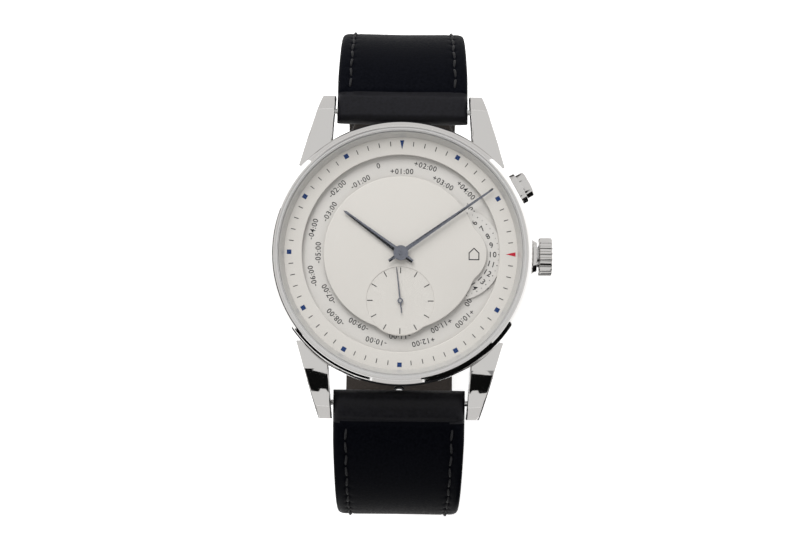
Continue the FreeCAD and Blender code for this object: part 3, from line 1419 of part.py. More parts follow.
def make_long_strap():
    """Long half, drawn to +Y like the short one and turned round to the 6 o'clock side."""
    rows = long_rows()
    total = rows[-1][3]
    taper = tip_taper.number
    fold = fold_length.number
    tip = [total - taper * (1 - share) for share in (0.0, 0.3, 0.55, 0.75, 0.9, 1.0)]
    marked = trimmed(rows, [0.0, fold] + tip)

    def width(distance):
        left = (total - distance) / taper
        full = tapered(distance)
        if left >= 1:
            return full
        return 5.0 + (full - 5.0) * math.sqrt(max(0.0, 1 - (1 - left) ** 2))

    def section(distance):
        return leather_section(distance, total, width, False)

    def lining(distance):
        half = width(distance) / 2
        return [(-half, -lining_thick.number), (half, -lining_thick.number), (half, 0), (-half, 0)]

    upper = lofted(marked, section)
    bar_y, bar_z = rows[0][0], rows[0][1]
    upper = upper.fuse(roll(strap_roll.number, bar_y, bar_z, strap_lug_width.number))
    upper = upper.cut(roll(bar_radius.number + run_gap.number, bar_y, bar_z, 30))
    under = lofted(trimmed(marked, [fold] + tip), lining)
    for k in range(int(hole_count.number)):
        distance = total - hole_first.number - k * hole_pitch.number
        punch = Part.makeCylinder(hole_radius.number, 8, Vector(0, 0, -4))
        punch.Placement = local_frame(place_on(rows, distance)).multiply(punch.Placement)
        upper = upper.cut(punch)
        under = under.cut(punch)
    about = Rotation(Vector(0, 0, 1), 180)
    plain_part("strap_long_upper", upper.removeSplitter(), 0, about)
    plain_part("strap_long_lining", under, 0, about)


def make_keepers():
    rows = short_rows()[0]
    half = strap_end_width.number / 2 + keeper_gap.number
    wall = keeper_wall.number
    low = -lining_thick.number - keeper_gap.number
    high = leather_end.number + keeper_room.number
    length = keeper_length.number
    for label, back in (("fixed_keeper", fixed_keeper_at), ("floating_keeper", floating_keeper_at)):
        distance = short_length.number - back.number
        outer = Part.makeBox(2 * (half + wall), length, high - low + 2 * wall,
                             Vector(-half - wall, -length / 2, low - wall))
        rims = [edge for edge in outer.Edges if abs(edge.tangentAt(0).y) > 0.9]
        outer = outer.makeFillet(wall * 0.9, rims)
        inner = Part.makeBox(2 * half, length + 2, high - low, Vector(-half, -length / 2 - 1, low))
        feature = plain_part(label, outer.cut(inner))
        feature.Placement = local_frame(place_on(rows, distance))


def make_buckle():
    rows = short_rows()[0]
    at = local_frame(place_on(rows, short_length.number))
    inner = strap_end_width.number / 2 + 0.25
    outer = inner + buckle_ear.number
    frame = doc.addObject("PartDesign::Body", "Body_buckle_frame")
    frame.Label = "buckle_frame"
    parts.append(frame)
    sketch = new_sketch(frame, "XY_Plane", buckle_thick / -2)
    half_in = strap_end_width / 2 + 0.25
    half_out = half_in + buckle_ear
    outline(sketch, [
        (-half_out, -buckle_heel),
        (-half_in, -buckle_heel),
        (-half_in, buckle_reach - buckle_front),
        (half_in, buckle_reach - buckle_front),
        (half_in, -buckle_heel),
        (half_out, -buckle_heel),
        (half_out, buckle_reach - 1.6),
        (half_out - 1.6, buckle_reach),
        (-half_out + 1.6, buckle_reach),
        (-half_out, buckle_reach - 1.6),
    ])
    pad(frame, sketch, buckle_thick)

    def long_edge(edge):
        middle = edge.valueAt((edge.FirstParameter + edge.LastParameter) / 2)
        ends = [v.Point for v in edge.Vertexes]
        return abs(ends[0].z - ends[1].z) < 0.01 and abs(middle.x) > outer - 0.01

    soften(frame, 0.5, long_edge)
    sketch = new_sketch(frame, "YZ_Plane")
    circle(sketch, 0, 0, buckle_bar)
    pocket(frame, sketch, (half_in + 1.0) * 2, midplane=True)
    sketch = new_sketch(frame, "XY_Plane", buckle_thick / 2)
    outline(sketch, box_corners(-tongue_width / 2 - 0.2, tongue_width / 2 + 0.2,
                                buckle_reach - buckle_front - 1, buckle_reach + 1))
    pocket(frame, sketch, tongue_notch, reverse=False)
    frame.Placement = at
    bar = Part.makeCylinder(buckle_bar.number - fit_gap.number, 2 * (inner + 0.9),
                            Vector(-inner - 0.9, 0, 0), Vector(1, 0, 0))
    plain_part("buckle_spring_bar", bar).Placement = at
    top = buckle_thick.number / 2 - tongue_notch.number + run_gap.number
    reach = buckle_reach.number
    thick = tongue_thick.number
    side = [(0.4, -0.4), (reach - buckle_front.number, top), (reach - 0.6, top),
            (reach - 0.2, top + thick * 0.55), (reach - 1.6, top + thick), (0.4, 1.2)]
    face = Part.Face(Part.makePolygon([Vector(0, y, z) for y, z in side + side[:1]]))
    arm = face.extrude(Vector(tongue_width.number, 0, 0))
    arm.translate(Vector(-tongue_width.number / 2, 0, 0))
    eye = roll(tongue_ring.number, 0, 0, tongue_width.number)
    tongue = arm.fuse(eye).cut(roll(buckle_bar.number + run_gap.number, 0, 0, 5))
    plain_part("buckle_tongue", tongue).Placement = at


def report_places():
    """Axes that the joints turn about."""
    rows, big = short_rows()
    y, z, heading = place_on(rows, short_length.number)
    print("buckle bar y %.3f z %.3f heading %.2f" % (y, z, heading))
    print("keeper axis z %.3f radius %.3f" % (strap_bottom.number + big, big))
    for back in (fixed_keeper_at, floating_keeper_at):
        print("keeper at y %.3f z %.3f heading %.2f" % place_on(rows, short_length.number - back.number))
    print("long strap %.1f mm" % long_rows()[-1][3])
    for name, place in train_places().items():
        print(name, place)


make_case_middle()
make_case_top()
make_case_back()
make_strap_bars()
make_crown()
make_setting_lever()
make_button()
make_dials()
make_inner_dial()
make_hands()
make_plates()
make_small_movement_parts()
make_going_train()
make_balance()
make_hairspring()
make_rotor()
make_short_strap()
make_long_strap()
make_keepers()
make_buckle()
report_places()


# Check and write

doc.recompute()
for item in doc.Objects:
    if "Invalid" in item.State or "Error" in item.State:
        raise ValueError("failed: " + item.Label)
os.makedirs("parts", exist_ok=True)
for part in parts:
    if part.Shape.isNull() or not part.Shape.isValid():
        raise ValueError("bad shape: " + part.Label)
    part.Shape.exportStep("parts/%s.step" % part.Label)
    print("%-22s solids %d volume %.3f" % (part.Label, len(part.Shape.Solids), part.Shape.Volume))
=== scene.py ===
# %% [markdown]
# # A world time watch, dressed over its measured solids
#
# The solids of the watch are loaded first and stay where they are: they are the ruler for
# everything below. Each cell makes one piece or one finish as the real watch has it: polished
# steel, a silvered dial with printed figures, blued hands, black shell leather with its
# stitching, and the striped movement behind the glass of the back.

# %% Load the solids
import json
import math

import bmesh
import bpy
import numpy as np
from mathutils import Matrix, Vector


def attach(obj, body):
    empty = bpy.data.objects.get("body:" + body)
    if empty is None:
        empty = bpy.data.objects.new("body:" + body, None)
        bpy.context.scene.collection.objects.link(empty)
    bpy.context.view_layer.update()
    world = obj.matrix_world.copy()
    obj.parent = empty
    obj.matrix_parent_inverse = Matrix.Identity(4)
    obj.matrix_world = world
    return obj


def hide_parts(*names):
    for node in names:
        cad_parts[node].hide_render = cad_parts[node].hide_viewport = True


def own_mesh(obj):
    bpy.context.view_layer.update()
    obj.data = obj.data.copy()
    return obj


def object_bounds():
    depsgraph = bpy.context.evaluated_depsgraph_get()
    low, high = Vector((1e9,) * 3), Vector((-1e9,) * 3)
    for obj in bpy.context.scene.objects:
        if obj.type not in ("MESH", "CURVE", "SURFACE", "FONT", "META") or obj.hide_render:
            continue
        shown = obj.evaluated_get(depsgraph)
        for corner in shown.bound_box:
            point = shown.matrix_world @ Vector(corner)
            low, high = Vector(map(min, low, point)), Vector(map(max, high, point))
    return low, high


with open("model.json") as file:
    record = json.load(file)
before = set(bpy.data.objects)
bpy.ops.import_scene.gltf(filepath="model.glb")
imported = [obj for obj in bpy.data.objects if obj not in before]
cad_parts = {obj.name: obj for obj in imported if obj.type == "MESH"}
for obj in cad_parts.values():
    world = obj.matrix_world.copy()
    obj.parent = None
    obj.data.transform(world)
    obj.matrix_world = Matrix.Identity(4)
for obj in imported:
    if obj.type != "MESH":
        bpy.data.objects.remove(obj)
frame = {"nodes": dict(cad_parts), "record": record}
solid_low, solid_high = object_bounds()


def in_mm(corner):
    """Corner of a box in metres, as rounded millimetres."""
    return [round(value * 1000, 1) for value in corner]


print("solids from", in_mm(solid_low), "to", in_mm(solid_high))

# %% [markdown]
# Watch sizes are small, so all shapes are worked out in millimetres and are turned into metres
# only when a mesh is written. Heights on the watch head are counted from the back of the case,
# and the back lies 24 mm above the middle of the wrist opening.

# %% Units and the height of the watch head
MM = 0.001
BACK = 24.0
DIAL_FACE, SUNK_FACE, RING_FACE, HOME_FACE = 8.45, 8.378, 7.55, 7.9


def lifted(height):
    """Height above the case back, turned into height above the middle of the wrist opening."""
    return BACK + height


print("dial face at", lifted(DIAL_FACE), "mm")

# %% [markdown]
# A mesh is a list of points and a list of faces. Points come from numpy as whole arrays. Doubled
# points are merged and the faces are turned outwards, because only then do the reflections in
# polished steel run on smoothly. Edges sharper than a chosen angle stay sharp.

# %% From arrays to a piece
def as_piece(name, points, faces, body, finish, sharp=32.0, replaced=(), slot=None):
    """Writes points (n, 3) in millimetres and their faces into a new object that rides on a body."""
    mesh = bpy.data.meshes.new(name)
    mesh.from_pydata((np.asarray(points, float) * MM).tolist(), [], [list(map(int, f)) for f in faces])
    shell = bmesh.new()
    shell.from_mesh(mesh)
    bmesh.ops.remove_doubles(shell, verts=shell.verts, dist=2e-7)
    bmesh.ops.recalc_face_normals(shell, faces=shell.faces)
    shell.to_mesh(mesh)
    shell.free()
    return dressed(name, mesh, body, finish, sharp, replaced)


def dressed(name, mesh, body, finish, sharp=32.0, replaced=()):
    """Gives a mesh its finish and its place in the watch."""
    mesh.shade_smooth()
    mesh.set_sharp_from_angle(angle=math.radians(sharp))
    piece = bpy.data.objects.new(name, mesh)
    bpy.context.scene.collection.objects.link(piece)
    piece.data.materials.append(finish)
    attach(piece, body)
    if replaced:
        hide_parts(*replaced)
    return piece


def grid_faces(rows, columns, close_rows=False, close_columns=True):
    """Quads of a grid: each joins point (i, j) with its neighbours i + 1 and j + 1."""
    i = np.arange(rows if close_rows else rows - 1)
    j = np.arange(columns if close_columns else columns - 1)
    i, j = (a.ravel() for a in np.meshgrid(i, j, indexing="ij"))
    right, down = (j + 1) % columns, (i + 1) % rows
    return np.stack([i * columns + j, i * columns + right, down * columns + right, down * columns + j], 1)


def capped(rows, columns):
    """Faces of a closed bar: its sides and both of its ends."""
    ends = [range(columns), range((rows - 1) * columns, rows * columns)]
    return [tuple(face) for face in (*grid_faces(rows, columns), *ends)]


def joined(parts):
    """Puts meshes, each a pair of points and faces, one after the other into one."""
    points, faces, start = [], [], 0
    for new_points, new_faces in parts:
        points.append(new_points)
        faces += [tuple(v + start for v in face) for face in new_faces]
        start += len(new_points)
    return np.concatenate(points), faces


def full_turn(count):
    """Angles of one full turn in even steps."""
    return np.linspace(0, 2 * math.pi, count, endpoint=False)


def spin(degrees):
    """Matrix that turns flat points (x, y) against the clock, for use as points @ spin."""
    a = math.radians(degrees)
    return np.array([[math.cos(a), math.sin(a)], [-math.sin(a), math.cos(a)]])


# %% [markdown]
# Round pieces are turned on a lathe in the workshop, and here too: a profile of radius and
# height is carried once round an axis. Every corner of a turned steel piece is broken a little,
# and it is that narrow rounded edge that catches the light.

# %% Profiles and the lathe
def arc(start, end, radius, side, steps=10):
    """Points of the shorter arc between two points; side 1 has its centre left of the way."""
    start, end = np.array(start, float), np.array(end, float)
    chord = end - start
    half = np.hypot(*chord) / 2
    left = np.array([-chord[1], chord[0]]) / (2 * half)
    centre = (start + end) / 2 + left * side * math.sqrt(max(radius * radius - half * half, 0.0))
    low = math.atan2(*(start - centre)[::-1])
    high = math.atan2(*(end - centre)[::-1])
    sweep = (high - low + math.pi) % (2 * math.pi) - math.pi
    angle = low + sweep * np.linspace(0, 1, steps + 1)
    return centre + radius * np.stack([np.cos(angle), np.sin(angle)], 1)


def eased(corners, ease=0.06, steps=4):
    """Closed profile with each corner replaced by a small arc that touches both of its sides."""
    corners = np.array(corners, float)
    made = []
    for k, corner in enumerate(corners):
        back, ahead = corners[k - 1] - corner, corners[(k + 1) % len(corners)] - corner
        reach = min(np.hypot(*back), np.hypot(*ahead))
        back, ahead = back / np.hypot(*back), ahead / np.hypot(*ahead)
        turn = math.acos(np.clip(back @ ahead, -1, 1))
        if math.pi - turn < 0.12:
            made.append(corner)
            continue
        cut = min(ease / math.tan(turn / 2), reach * 0.45)
        share = np.linspace(0, 1, steps + 1)[:, None]
        first, last = corner + back * cut, corner + ahead * cut
        made.extend((1 - share) ** 2 * first + 2 * share * (1 - share) * corner + share ** 2 * last)
    return np.array(made)


def turned(name, profile, body, finish, centre=(0.0, 0.0), count=240, replaced=(), sharp=32.0, slot=None):
    """Lathe about an upright axis: x = cx + r cos t, y = cy + r sin t, z = height."""
    profile = np.asarray(profile, float)
    angle = full_turn(count)
    r, z = profile[:, :1], profile[:, 1:]
    points = np.stack([
        centre[0] + r * np.cos(angle), centre[1] + r * np.sin(angle), lifted(z) + 0 * angle], 2)
    faces = grid_faces(len(profile), count, close_rows=True)
    return as_piece(name, points.reshape(-1, 3), faces, body, finish, sharp, replaced, slot)


# %% [markdown]
# A finish starts from one base shader. Values that are the same all over sit on the shader's own
# sockets. What varies over the surface, such as fine scratches or grain, comes from noise in the
# piece's own coordinates, so it stays on the piece when the piece turns.


def new_node(tree, kind, **values):
    """New shader node; its inputs are given by name with _ for a space."""
    made = tree.nodes.new("ShaderNode" + kind)
    for key, value in values.items():
        made.inputs[key.replace("_", " ")].default_value = value
    return made


def plain_finish(name, colour, metallic, roughness, **sockets):
    """A finish with one base shader; further sockets are given by name with _ for a space."""
    finish = bpy.data.materials.new(name)
    finish.use_nodes = True
    shader = finish.node_tree.nodes["Principled BSDF"]
    sockets |= {"Base Color": (*colour, 1.0), "Metallic": metallic, "Roughness": roughness}
    for key, value in sockets.items():
        shader.inputs[key.replace("_", " ")].default_value = value
    return finish


def grained(slot, name, colour, metallic, roughness, scale, depth, rough, tint=None,
            stretch=(1, 1, 1), detail=3.0, turn=0.0, **sockets):
    """Finish whose normal, roughness and, if asked, colour follow noise in the piece's coordinates."""
    finish = plain_finish(name, colour, metallic, roughness, **sockets)
    tree = finish.node_tree
    shader, join = tree.nodes["Principled BSDF"], tree.links.new
    place = new_node(tree, "TexCoord")
    way = new_node(tree, "Mapping", Scale=stretch, Rotation=(0, 0, turn))
    noise = new_node(tree, "TexNoise", Scale=scale, Detail=detail)
    spread = new_node(tree, "MapRange", From_Min=0.3, From_Max=0.7, To_Min=rough[0], To_Max=rough[1])
    join(place.outputs["Object"], way.inputs["Vector"])
    join(way.outputs["Vector"], noise.inputs["Vector"])
    join(noise.outputs["Fac"], spread.inputs["Value"])
    join(spread.outputs["Result"], shader.inputs["Roughness"])
    if depth:
        bump = new_node(tree, "Bump", Strength=1.0, Distance=depth)
        join(noise.outputs["Fac"], bump.inputs["Height"])
        join(bump.outputs["Normal"], shader.inputs["Normal"])
    if tint:
        ramp = new_node(tree, "ValToRGB")
        for stop, spot, shade in zip(ramp.color_ramp.elements, (0.3, 0.7), tint):
            stop.position, stop.color = spot, (*shade, 1)
        join(noise.outputs["Fac"], ramp.inputs["Fac"])
        join(ramp.outputs["Color"], shader.inputs["Base Color"])
    return finish

# %% [markdown]
# Steel: the case is mirror polished, with hair-fine marks from wear that only show in a
# reflection's edge. Crown and button are the same steel; inner steel parts are left finely
# ground, so they are rougher and a shade darker.

# %% Steel finishes
case_steel = grained("case_steel", "polished_case_steel", (0.71, 0.70, 0.69), 1.0, 0.05,
                     900, 1.2e-6, (0.035, 0.075), stretch=(1, 1, 3))
crown_steel = grained("crown_steel", "polished_crown_steel", (0.69, 0.68, 0.67), 1.0, 0.08,
                      1500, 1.5e-6, (0.06, 0.12))
bar_steel = grained("bar_steel", "ground_bar_steel", (0.6, 0.6, 0.6), 1.0, 0.22,
                    2500, 3e-6, (0.16, 0.3), stretch=(0.2, 3, 3))
buckle_steel = grained("buckle_steel", "polished_buckle_steel", (0.78, 0.77, 0.75), 1.0, 0.07,
                       1100, 2e-6, (0.05, 0.12), stretch=(3, 1, 1))
spring_steel = grained("spring_steel", "spring_steel", (0.42, 0.43, 0.46), 1.0, 0.25,
                       3000, 2e-6, (0.2, 0.32))
screw_blue = grained("screw_blue", "blued_screw_steel", (0.03, 0.06, 0.32), 1.0, 0.12,
                     2500, 1e-6, (0.08, 0.18), ((0.02, 0.04, 0.26), (0.05, 0.09, 0.4)))
hand_blue = grained("hand_blue", "tempered_hand_steel", (0.2, 0.21, 0.25), 1.0, 0.12,
                    1500, 8e-7, (0.08, 0.16), ((0.18, 0.19, 0.23), (0.22, 0.23, 0.27)))
print("steel finishes ready")

# %% [markdown]
# Dials: silver plated brass, brushed with fine salt, gives a matt white with a faint warm tone
# and a tiny sparkle. The rings under it are the same white, a little cooler. The sloped flange
# round the dial is smoother, so it mirrors a blurred grey of what stands around the watch.

# %% Dial finishes
dial_silver = grained("dial_silver", "silvered_dial", (0.70, 0.675, 0.635), 0.0, 0.42,
                      9000, 4e-6, (0.36, 0.5), ((0.685, 0.66, 0.62), (0.715, 0.69, 0.65)),
                      Specular_IOR_Level=0.35)
ring_silver = grained("ring_silver", "silvered_ring", (0.69, 0.67, 0.64), 0.0, 0.45,
                      9000, 3e-6, (0.4, 0.52), ((0.675, 0.655, 0.625), (0.705, 0.685, 0.655)),
                      Specular_IOR_Level=0.3)
flange_silver = grained("flange_silver", "satin_flange", (0.60, 0.59, 0.57), 0.4, 0.35,
                        2500, 2e-6, (0.3, 0.42), stretch=(1, 1, 6))
dial_print = grained("dial_print", "dark_print", (0.020, 0.019, 0.021), 0.0, 0.55,
                     6000, 2e-6, (0.5, 0.62), Specular_IOR_Level=0.1)
marker_blue = grained("marker_blue", "blue_print", (0.006, 0.035, 0.150), 0.0, 0.4,
                      6000, 2e-6, (0.35, 0.48), Specular_IOR_Level=0.1)
marker_red = grained("marker_red", "red_print", (0.50, 0.012, 0.032), 0.0, 0.4,
                     6000, 2e-6, (0.35, 0.48), Specular_IOR_Level=0.1)
print("dial finishes ready")

# %% [markdown]
# Glass: sapphire with a coating against reflections is nearly invisible from the front and shows
# only at its edge. Light has to reach the dial through it, so the clear faces are made
# see-through by alpha, and the edge gets a second, whiter and less clear finish: a painted glint
# for the light that the rim catches.

# %% Glass and rubber finishes
clear_glass = grained("front_glass", "clear_sapphire", (0.3, 0.32, 0.34), 0.0, 0.02,
                      40, 0.0, (0.01, 0.03), Alpha=0.03, IOR=1.77)
# The rim finish's whiter, less clear colour is a painted glint of the light at the glass edge.
rim_glint_glass = grained("front_glass", "sapphire_rim_painted_glint", (0.80, 0.79, 0.78), 0.0, 0.08,
                     400, 0.0, (0.05, 0.14), Alpha=0.3, IOR=1.77)
glass_seal = grained("glass_seal", "glass_seal_ring", (0.55, 0.545, 0.54), 0.0, 0.4,
                     2500, 2e-6, (0.35, 0.5))
rubber_seal = grained("rubber_seal", "black_rubber", (0.02, 0.02, 0.02), 0.0, 0.6,
                      2500, 4e-6, (0.5, 0.7))
print("glass finishes ready")

# %% [markdown]
# Movement: the plates are nickel or rhodium plated and carry broad ground stripes. A stripe is a
# shallow arc in the surface, so the light slides over it. Here a wave along one direction bends
# the normal, and fine noise along the stripes stands for the grinding marks.

# %% Striped plate, rotor and small metals
def striped(finish, width, depth, turn):
    """Adds stripes: a wave over the piece whose period is the stripe width, as a bump."""
    tree = finish.node_tree
    shader, join = tree.nodes["Principled BSDF"], tree.links.new
    place = new_node(tree, "TexCoord")
    way = new_node(tree, "Mapping", Rotation=(0, 0, turn))
    wave = new_node(tree, "TexWave", Scale=math.pi / 10 / (width * MM))
    wave.wave_type, wave.wave_profile = "BANDS", "SAW"
    bump = new_node(tree, "Bump", Distance=depth)
    grain = shader.inputs["Normal"].links[0].from_socket
    join(place.outputs["Object"], way.inputs["Vector"])
    join(way.outputs["Vector"], wave.inputs["Vector"])
    join(wave.outputs["Fac"], bump.inputs["Height"])
    join(grain, bump.inputs["Normal"])
    join(bump.outputs["Normal"], shader.inputs["Normal"])
    return finish


STRIPE, STRIPE_DEPTH, STRIPE_TURN = 1.3, 6e-5, 0.6
movement_plate = striped(
    grained("movement_plate", "striped_plate", (0.72, 0.71, 0.68), 1.0, 0.2, 4000, 3e-6, (0.14, 0.28),
            stretch=(1, 8, 1), turn=STRIPE_TURN), STRIPE, STRIPE_DEPTH, STRIPE_TURN)
rotor_metal = grained("rotor_metal", "brushed_rotor", (0.74, 0.73, 0.7), 1.0, 0.2,
                      3000, 4e-6, (0.14, 0.3), stretch=(8, 1, 1))
wheel_brass = grained("wheel_brass", "gilt_brass", (0.75, 0.55, 0.25), 1.0, 0.22,
                      2500, 2e-6, (0.17, 0.28), ((0.7, 0.5, 0.22), (0.8, 0.6, 0.3)))
ruby = grained("ruby", "ruby", (0.5, 0.01, 0.08), 0.0, 0.08, 900, 0.0, (0.05, 0.12),
               ((0.42, 0.005, 0.06), (0.6, 0.02, 0.12)), IOR=1.76, Coat_Weight=0.5)
print("movement finishes ready")

# %% [markdown]
# Leather: black shell leather is dense and oiled. It has almost no pores, a deep blue-black
# colour, a low gloss, and tiny waves and specks. The lining is a lighter, matt calf leather.
# Thread is waxed and twisted; fine noise roughens its surface.

# %% Leather and thread finishes
strap_leather = grained("strap_leather", "black_shell_leather", (0.002, 0.0024, 0.004), 0.0, 0.4,
                        2600, 3e-5, (0.34, 0.52), ((0.0012, 0.0015, 0.0028), (0.0032, 0.0036, 0.0058)),
                        detail=6.0, Specular_IOR_Level=0.02)
# Rolled end over the bar: the lighter colour is a painted sheen, and the higher Specular IOR Level gives it
# more real gloss.
sheen_painted_leather = grained("strap_leather", "sheen_painted_shell_leather", (0.004, 0.004, 0.006), 0.0, 0.42,
                         2200, 4e-5, (0.36, 0.56), ((0.003, 0.003, 0.0045), (0.0075, 0.0075, 0.0105)),
                         detail=6.0, Specular_IOR_Level=0.2)
strap_lining = grained("strap_lining", "calf_lining", (0.034, 0.029, 0.026), 0.0, 0.7,
                       3200, 6e-5, (0.6, 0.8), ((0.028, 0.023, 0.02), (0.042, 0.035, 0.031)),
                       detail=8.0, Specular_IOR_Level=0.2)
strap_thread = grained("strap_thread", "waxed_thread", (0.012, 0.012, 0.013), 0.0, 0.5,
                       9000, 5e-5, (0.42, 0.6), ((0.008, 0.008, 0.009), (0.018, 0.018, 0.02)),
                       Specular_IOR_Level=0.3)
print("leather finishes ready")

# %% [markdown]
# The case wall is one turned ring. It widens from the back to a belly, then stands upright to
# the seat of the bezel. Inside it is stepped for the movement and the dial.

# %% Case ring
CASE = [(18.03, 0.3), (18.45, 0.3), (18.6, 0.5), *arc((18.6, 0.5), (19.6, 2.9), 4.5, 1, 8)[1:],
        (19.6, 7.2), (18.9, 7.2), (18.9, 7.9), (17.8, 7.9), (17.8, 6.9), (15.6, 6.9),
        (15.6, 1.7), (16.1, 1.7), (16.1, 1.2), (18.03, 1.2)]
case_ring = turned("case_ring", eased(CASE, 0.08), "case", case_steel, count=360,
                   replaced=["case_middle"])
print("case ring:", len(case_ring.data.polygons), "faces")

# %% [markdown]
# A lug is a slab between two upright planes that narrow towards the tip. Its side view is a flat
# top that curves down, a small tip and a hollow underside. The outline of the side view is
# carried across from the inner to the outer plane, and shrinks a little at both planes, which
# rounds the long edges as polishing does.

# %% Lugs
def lug_outline():
    """Closed side view of a lug as (distance from the middle, height) points."""
    corners = [(13.2, 2.6), *arc((13.2, 2.6), (17.4, 1.4), 14.0, -1, 4)[1:],
               *arc((17.4, 1.4), (23.7, -0.35), 12.0, -1, 12)[1:],
               (24.55, -0.3), (24.8, -0.05), (24.8, 1.1),
               *arc((24.78, 1.3), (17.4, 6.95), 10.5, 1, 22), (13.2, 6.95)]
    return eased(corners, 0.12, 3)


def inset(loop, distance):
    """Moves a closed outline inwards along the mean normal of its two sides."""
    before, after = loop - np.roll(loop, 1, 0), np.roll(loop, -1, 0) - loop
    way = before / np.linalg.norm(before, axis=1)[:, None] + after / np.linalg.norm(after, axis=1)[:, None]
    way /= np.linalg.norm(way, axis=1)[:, None]
    area = np.sum(loop[:, 0] * np.roll(loop[:, 1], -1) - loop[:, 1] * np.roll(loop[:, 0], -1))
    normal = np.stack([-way[:, 1], way[:, 0]], 1) * np.sign(area)
    return loop + normal * distance


ROOT, TIP, INNER_PLANE, OUTER_PLANE = 13.2, 25.8, (10.9, 10.12), (15.6, 11.95)


def lug(side, end):
    """One lug: rings of the outline from the inner plane to the outer plane, shrunk at both."""
    loop = lug_outline()
    edge = 0.22
    turn = np.linspace(0, math.pi / 2, 6)
    shrink = np.concatenate([[0.75, edge + 0.02], edge * (1 - np.sin(turn))])
    depth = np.concatenate([[0.0, 0.0], edge * (1 - np.cos(turn))])
    rings = []
    for (at_root, at_tip), way in ((INNER_PLANE, 1), (OUTER_PLANE, -1)):
        for k in range(len(shrink))[::way]:
            y, z = inset(loop, shrink[k]).T
            share = (y - ROOT) / (TIP - ROOT)
            x = at_root + (at_tip - at_root) * share + way * depth[k]
            rings.append(np.stack([x * side, y * end, lifted(z)], 1))
    return np.concatenate(rings), capped(len(rings), len(loop))


all_four = joined(lug(side, end) for side in (1, -1) for end in (1, -1))
lugs = as_piece("case_lugs", *all_four, "case", case_steel, sharp=24)
print("four lugs:", len(lugs.data.polygons), "faces")

# %% [markdown]
# The bezel is the broad polished ring that holds the glass. Its flank rounds in towards the top,
# and this curve alone gives the long light and dark reflections. A fine groove parts it from the
# case below.

# %% Bezel
BEZEL = [(18.93, 7.25), (19.6, 7.25), (19.95, 7.62), (19.95, 8.3),
         *arc((19.95, 8.3), (19.0, 10.4), 2.9, 1, 16)[1:],
         (18.8, 10.36), (18.8, 9.6), (18.3, 9.6), (18.3, 7.95), (18.93, 7.95)]
bezel = turned("bezel_ring", eased(BEZEL, 0.05), "case", case_steel, count=360, replaced=["bezel"])
print("bezel:", len(bezel.data.polygons), "faces")

# %% [markdown]
# The front glass is slightly domed, with a polished bevel round it. The faces at the rim get the
# whiter edge finish, a painted glint for the light that the rim catches.

# %% Front glass
DOME_RADIUS, DOME_FOOT, DOME_TOP = 18.28, 10.42, 10.9
rise = DOME_TOP - DOME_FOOT
dome = (DOME_RADIUS ** 2 + rise ** 2) / (2 * rise)
angles = np.linspace(math.asin(DOME_RADIUS / dome), 0.004, 26)
DOME = np.stack([dome * np.sin(angles), DOME_TOP - dome * (1 - np.cos(angles))], 1)
GLASS = [(0.05, 9.68), (17.9, 9.68), (18.42, 9.68), (18.5, 9.76), (18.5, 10.2), *DOME]
glass = turned("front_glass", GLASS, "case", clear_glass, replaced=["crystal"], sharp=20)
# Rim faces get the painted glint finish.
glass.data.materials.append(rim_glint_glass)
middles = np.array([f.center for f in glass.data.polygons]) / MM
rim = np.hypot(middles[:, 0], middles[:, 1]) > 18.2
for face, is_rim in zip(glass.data.polygons, rim):
    face.material_index = int(is_rim)
print("front glass rises", round(rise, 2), "mm, rim faces", int(rim.sum()))

# %% [markdown]
# Between glass and dial sit the seal and the sloped flange. The flange is a short cone that
# leads the eye from the glass down to the minute track.

# %% Glass seal and flange
SEAL = [(18.3, 9.6), (18.8, 9.6), (18.8, 10.25), (18.5, 10.25), (18.5, 9.66), (18.3, 9.66)]
turned("glass_seal_ring", SEAL, "case", glass_seal, replaced=["crystal_gasket"])
FLANGE = [(17.5, 8.45), (18.27, 8.45), (18.27, 9.6), (18.1, 9.6), (17.52, 8.62)]
flange = turned("dial_flange_ring", eased(FLANGE, 0.03), "case", flange_silver,
                replaced=["dial_flange"])
print("flange:", len(flange.data.polygons), "faces")

# %% [markdown]
# The dial is in two levels. The outer ring with the minute track and the inner dial lie at one
# height; between them a window shows the world ring, which lies deeper. The edges of both are
# softly rounded, and this shows as a fine shaded line.

# %% Outer dial ring and world ring
OUTER = [(14.85, 8.05), (17.75, 8.05), (17.75, 8.45), (14.85, 8.45)]
outer_ring = turned("outer_dial", eased(OUTER, 0.12, 6), "case", dial_silver,
                    replaced=["outer_dial_ring"])
WORLD = [(10.9, 7.3), (15.2, 7.3), (15.2, 7.55), (10.9, 7.55)]
world_ring = turned("world_ring_face", eased(WORLD, 0.04), "world_ring", ring_silver,
                    replaced=["world_time_ring"])
print("rings:", len(outer_ring.data.polygons), "+", len(world_ring.data.polygons), "faces")

# %% [markdown]
# The inner dial is a disc with two swellings: a wide one round the small seconds, and a small
# one at the three that keeps clear of the home figures. Each swelling is a fillet, a small arc
# and a fillet. A fillet touches both circles, so its centre lies at the big radius plus the
# fillet from one middle, and at the small radius plus the fillet from the other.

# %% Outline of the inner dial
BIG, SMALL, DROP, FILLET = 11.6, 5.28, 7.15, 1.6
HOME = 8.27


def swelling(radius, away, fillet):
    """Swelling towards +x, from below to above, and the angle at which it leaves the big circle."""
    far, near = BIG + fillet, radius + fillet
    x = (far ** 2 - near ** 2 + away ** 2) / (2 * away)
    y = math.sqrt(far ** 2 - x ** 2)
    big_end, small_end = math.atan2(y, x), math.atan2(y, x - away)
    way = np.linspace(small_end, big_end, 14) + math.pi
    above = np.stack([x + fillet * np.cos(way), y + fillet * np.sin(way)], 1)
    tip = np.linspace(-small_end, small_end, 60)
    round_tip = np.stack([away + radius * np.cos(tip), radius * np.sin(tip)], 1)
    return np.concatenate([above[::-1] * (1, -1), round_tip, above]), big_end


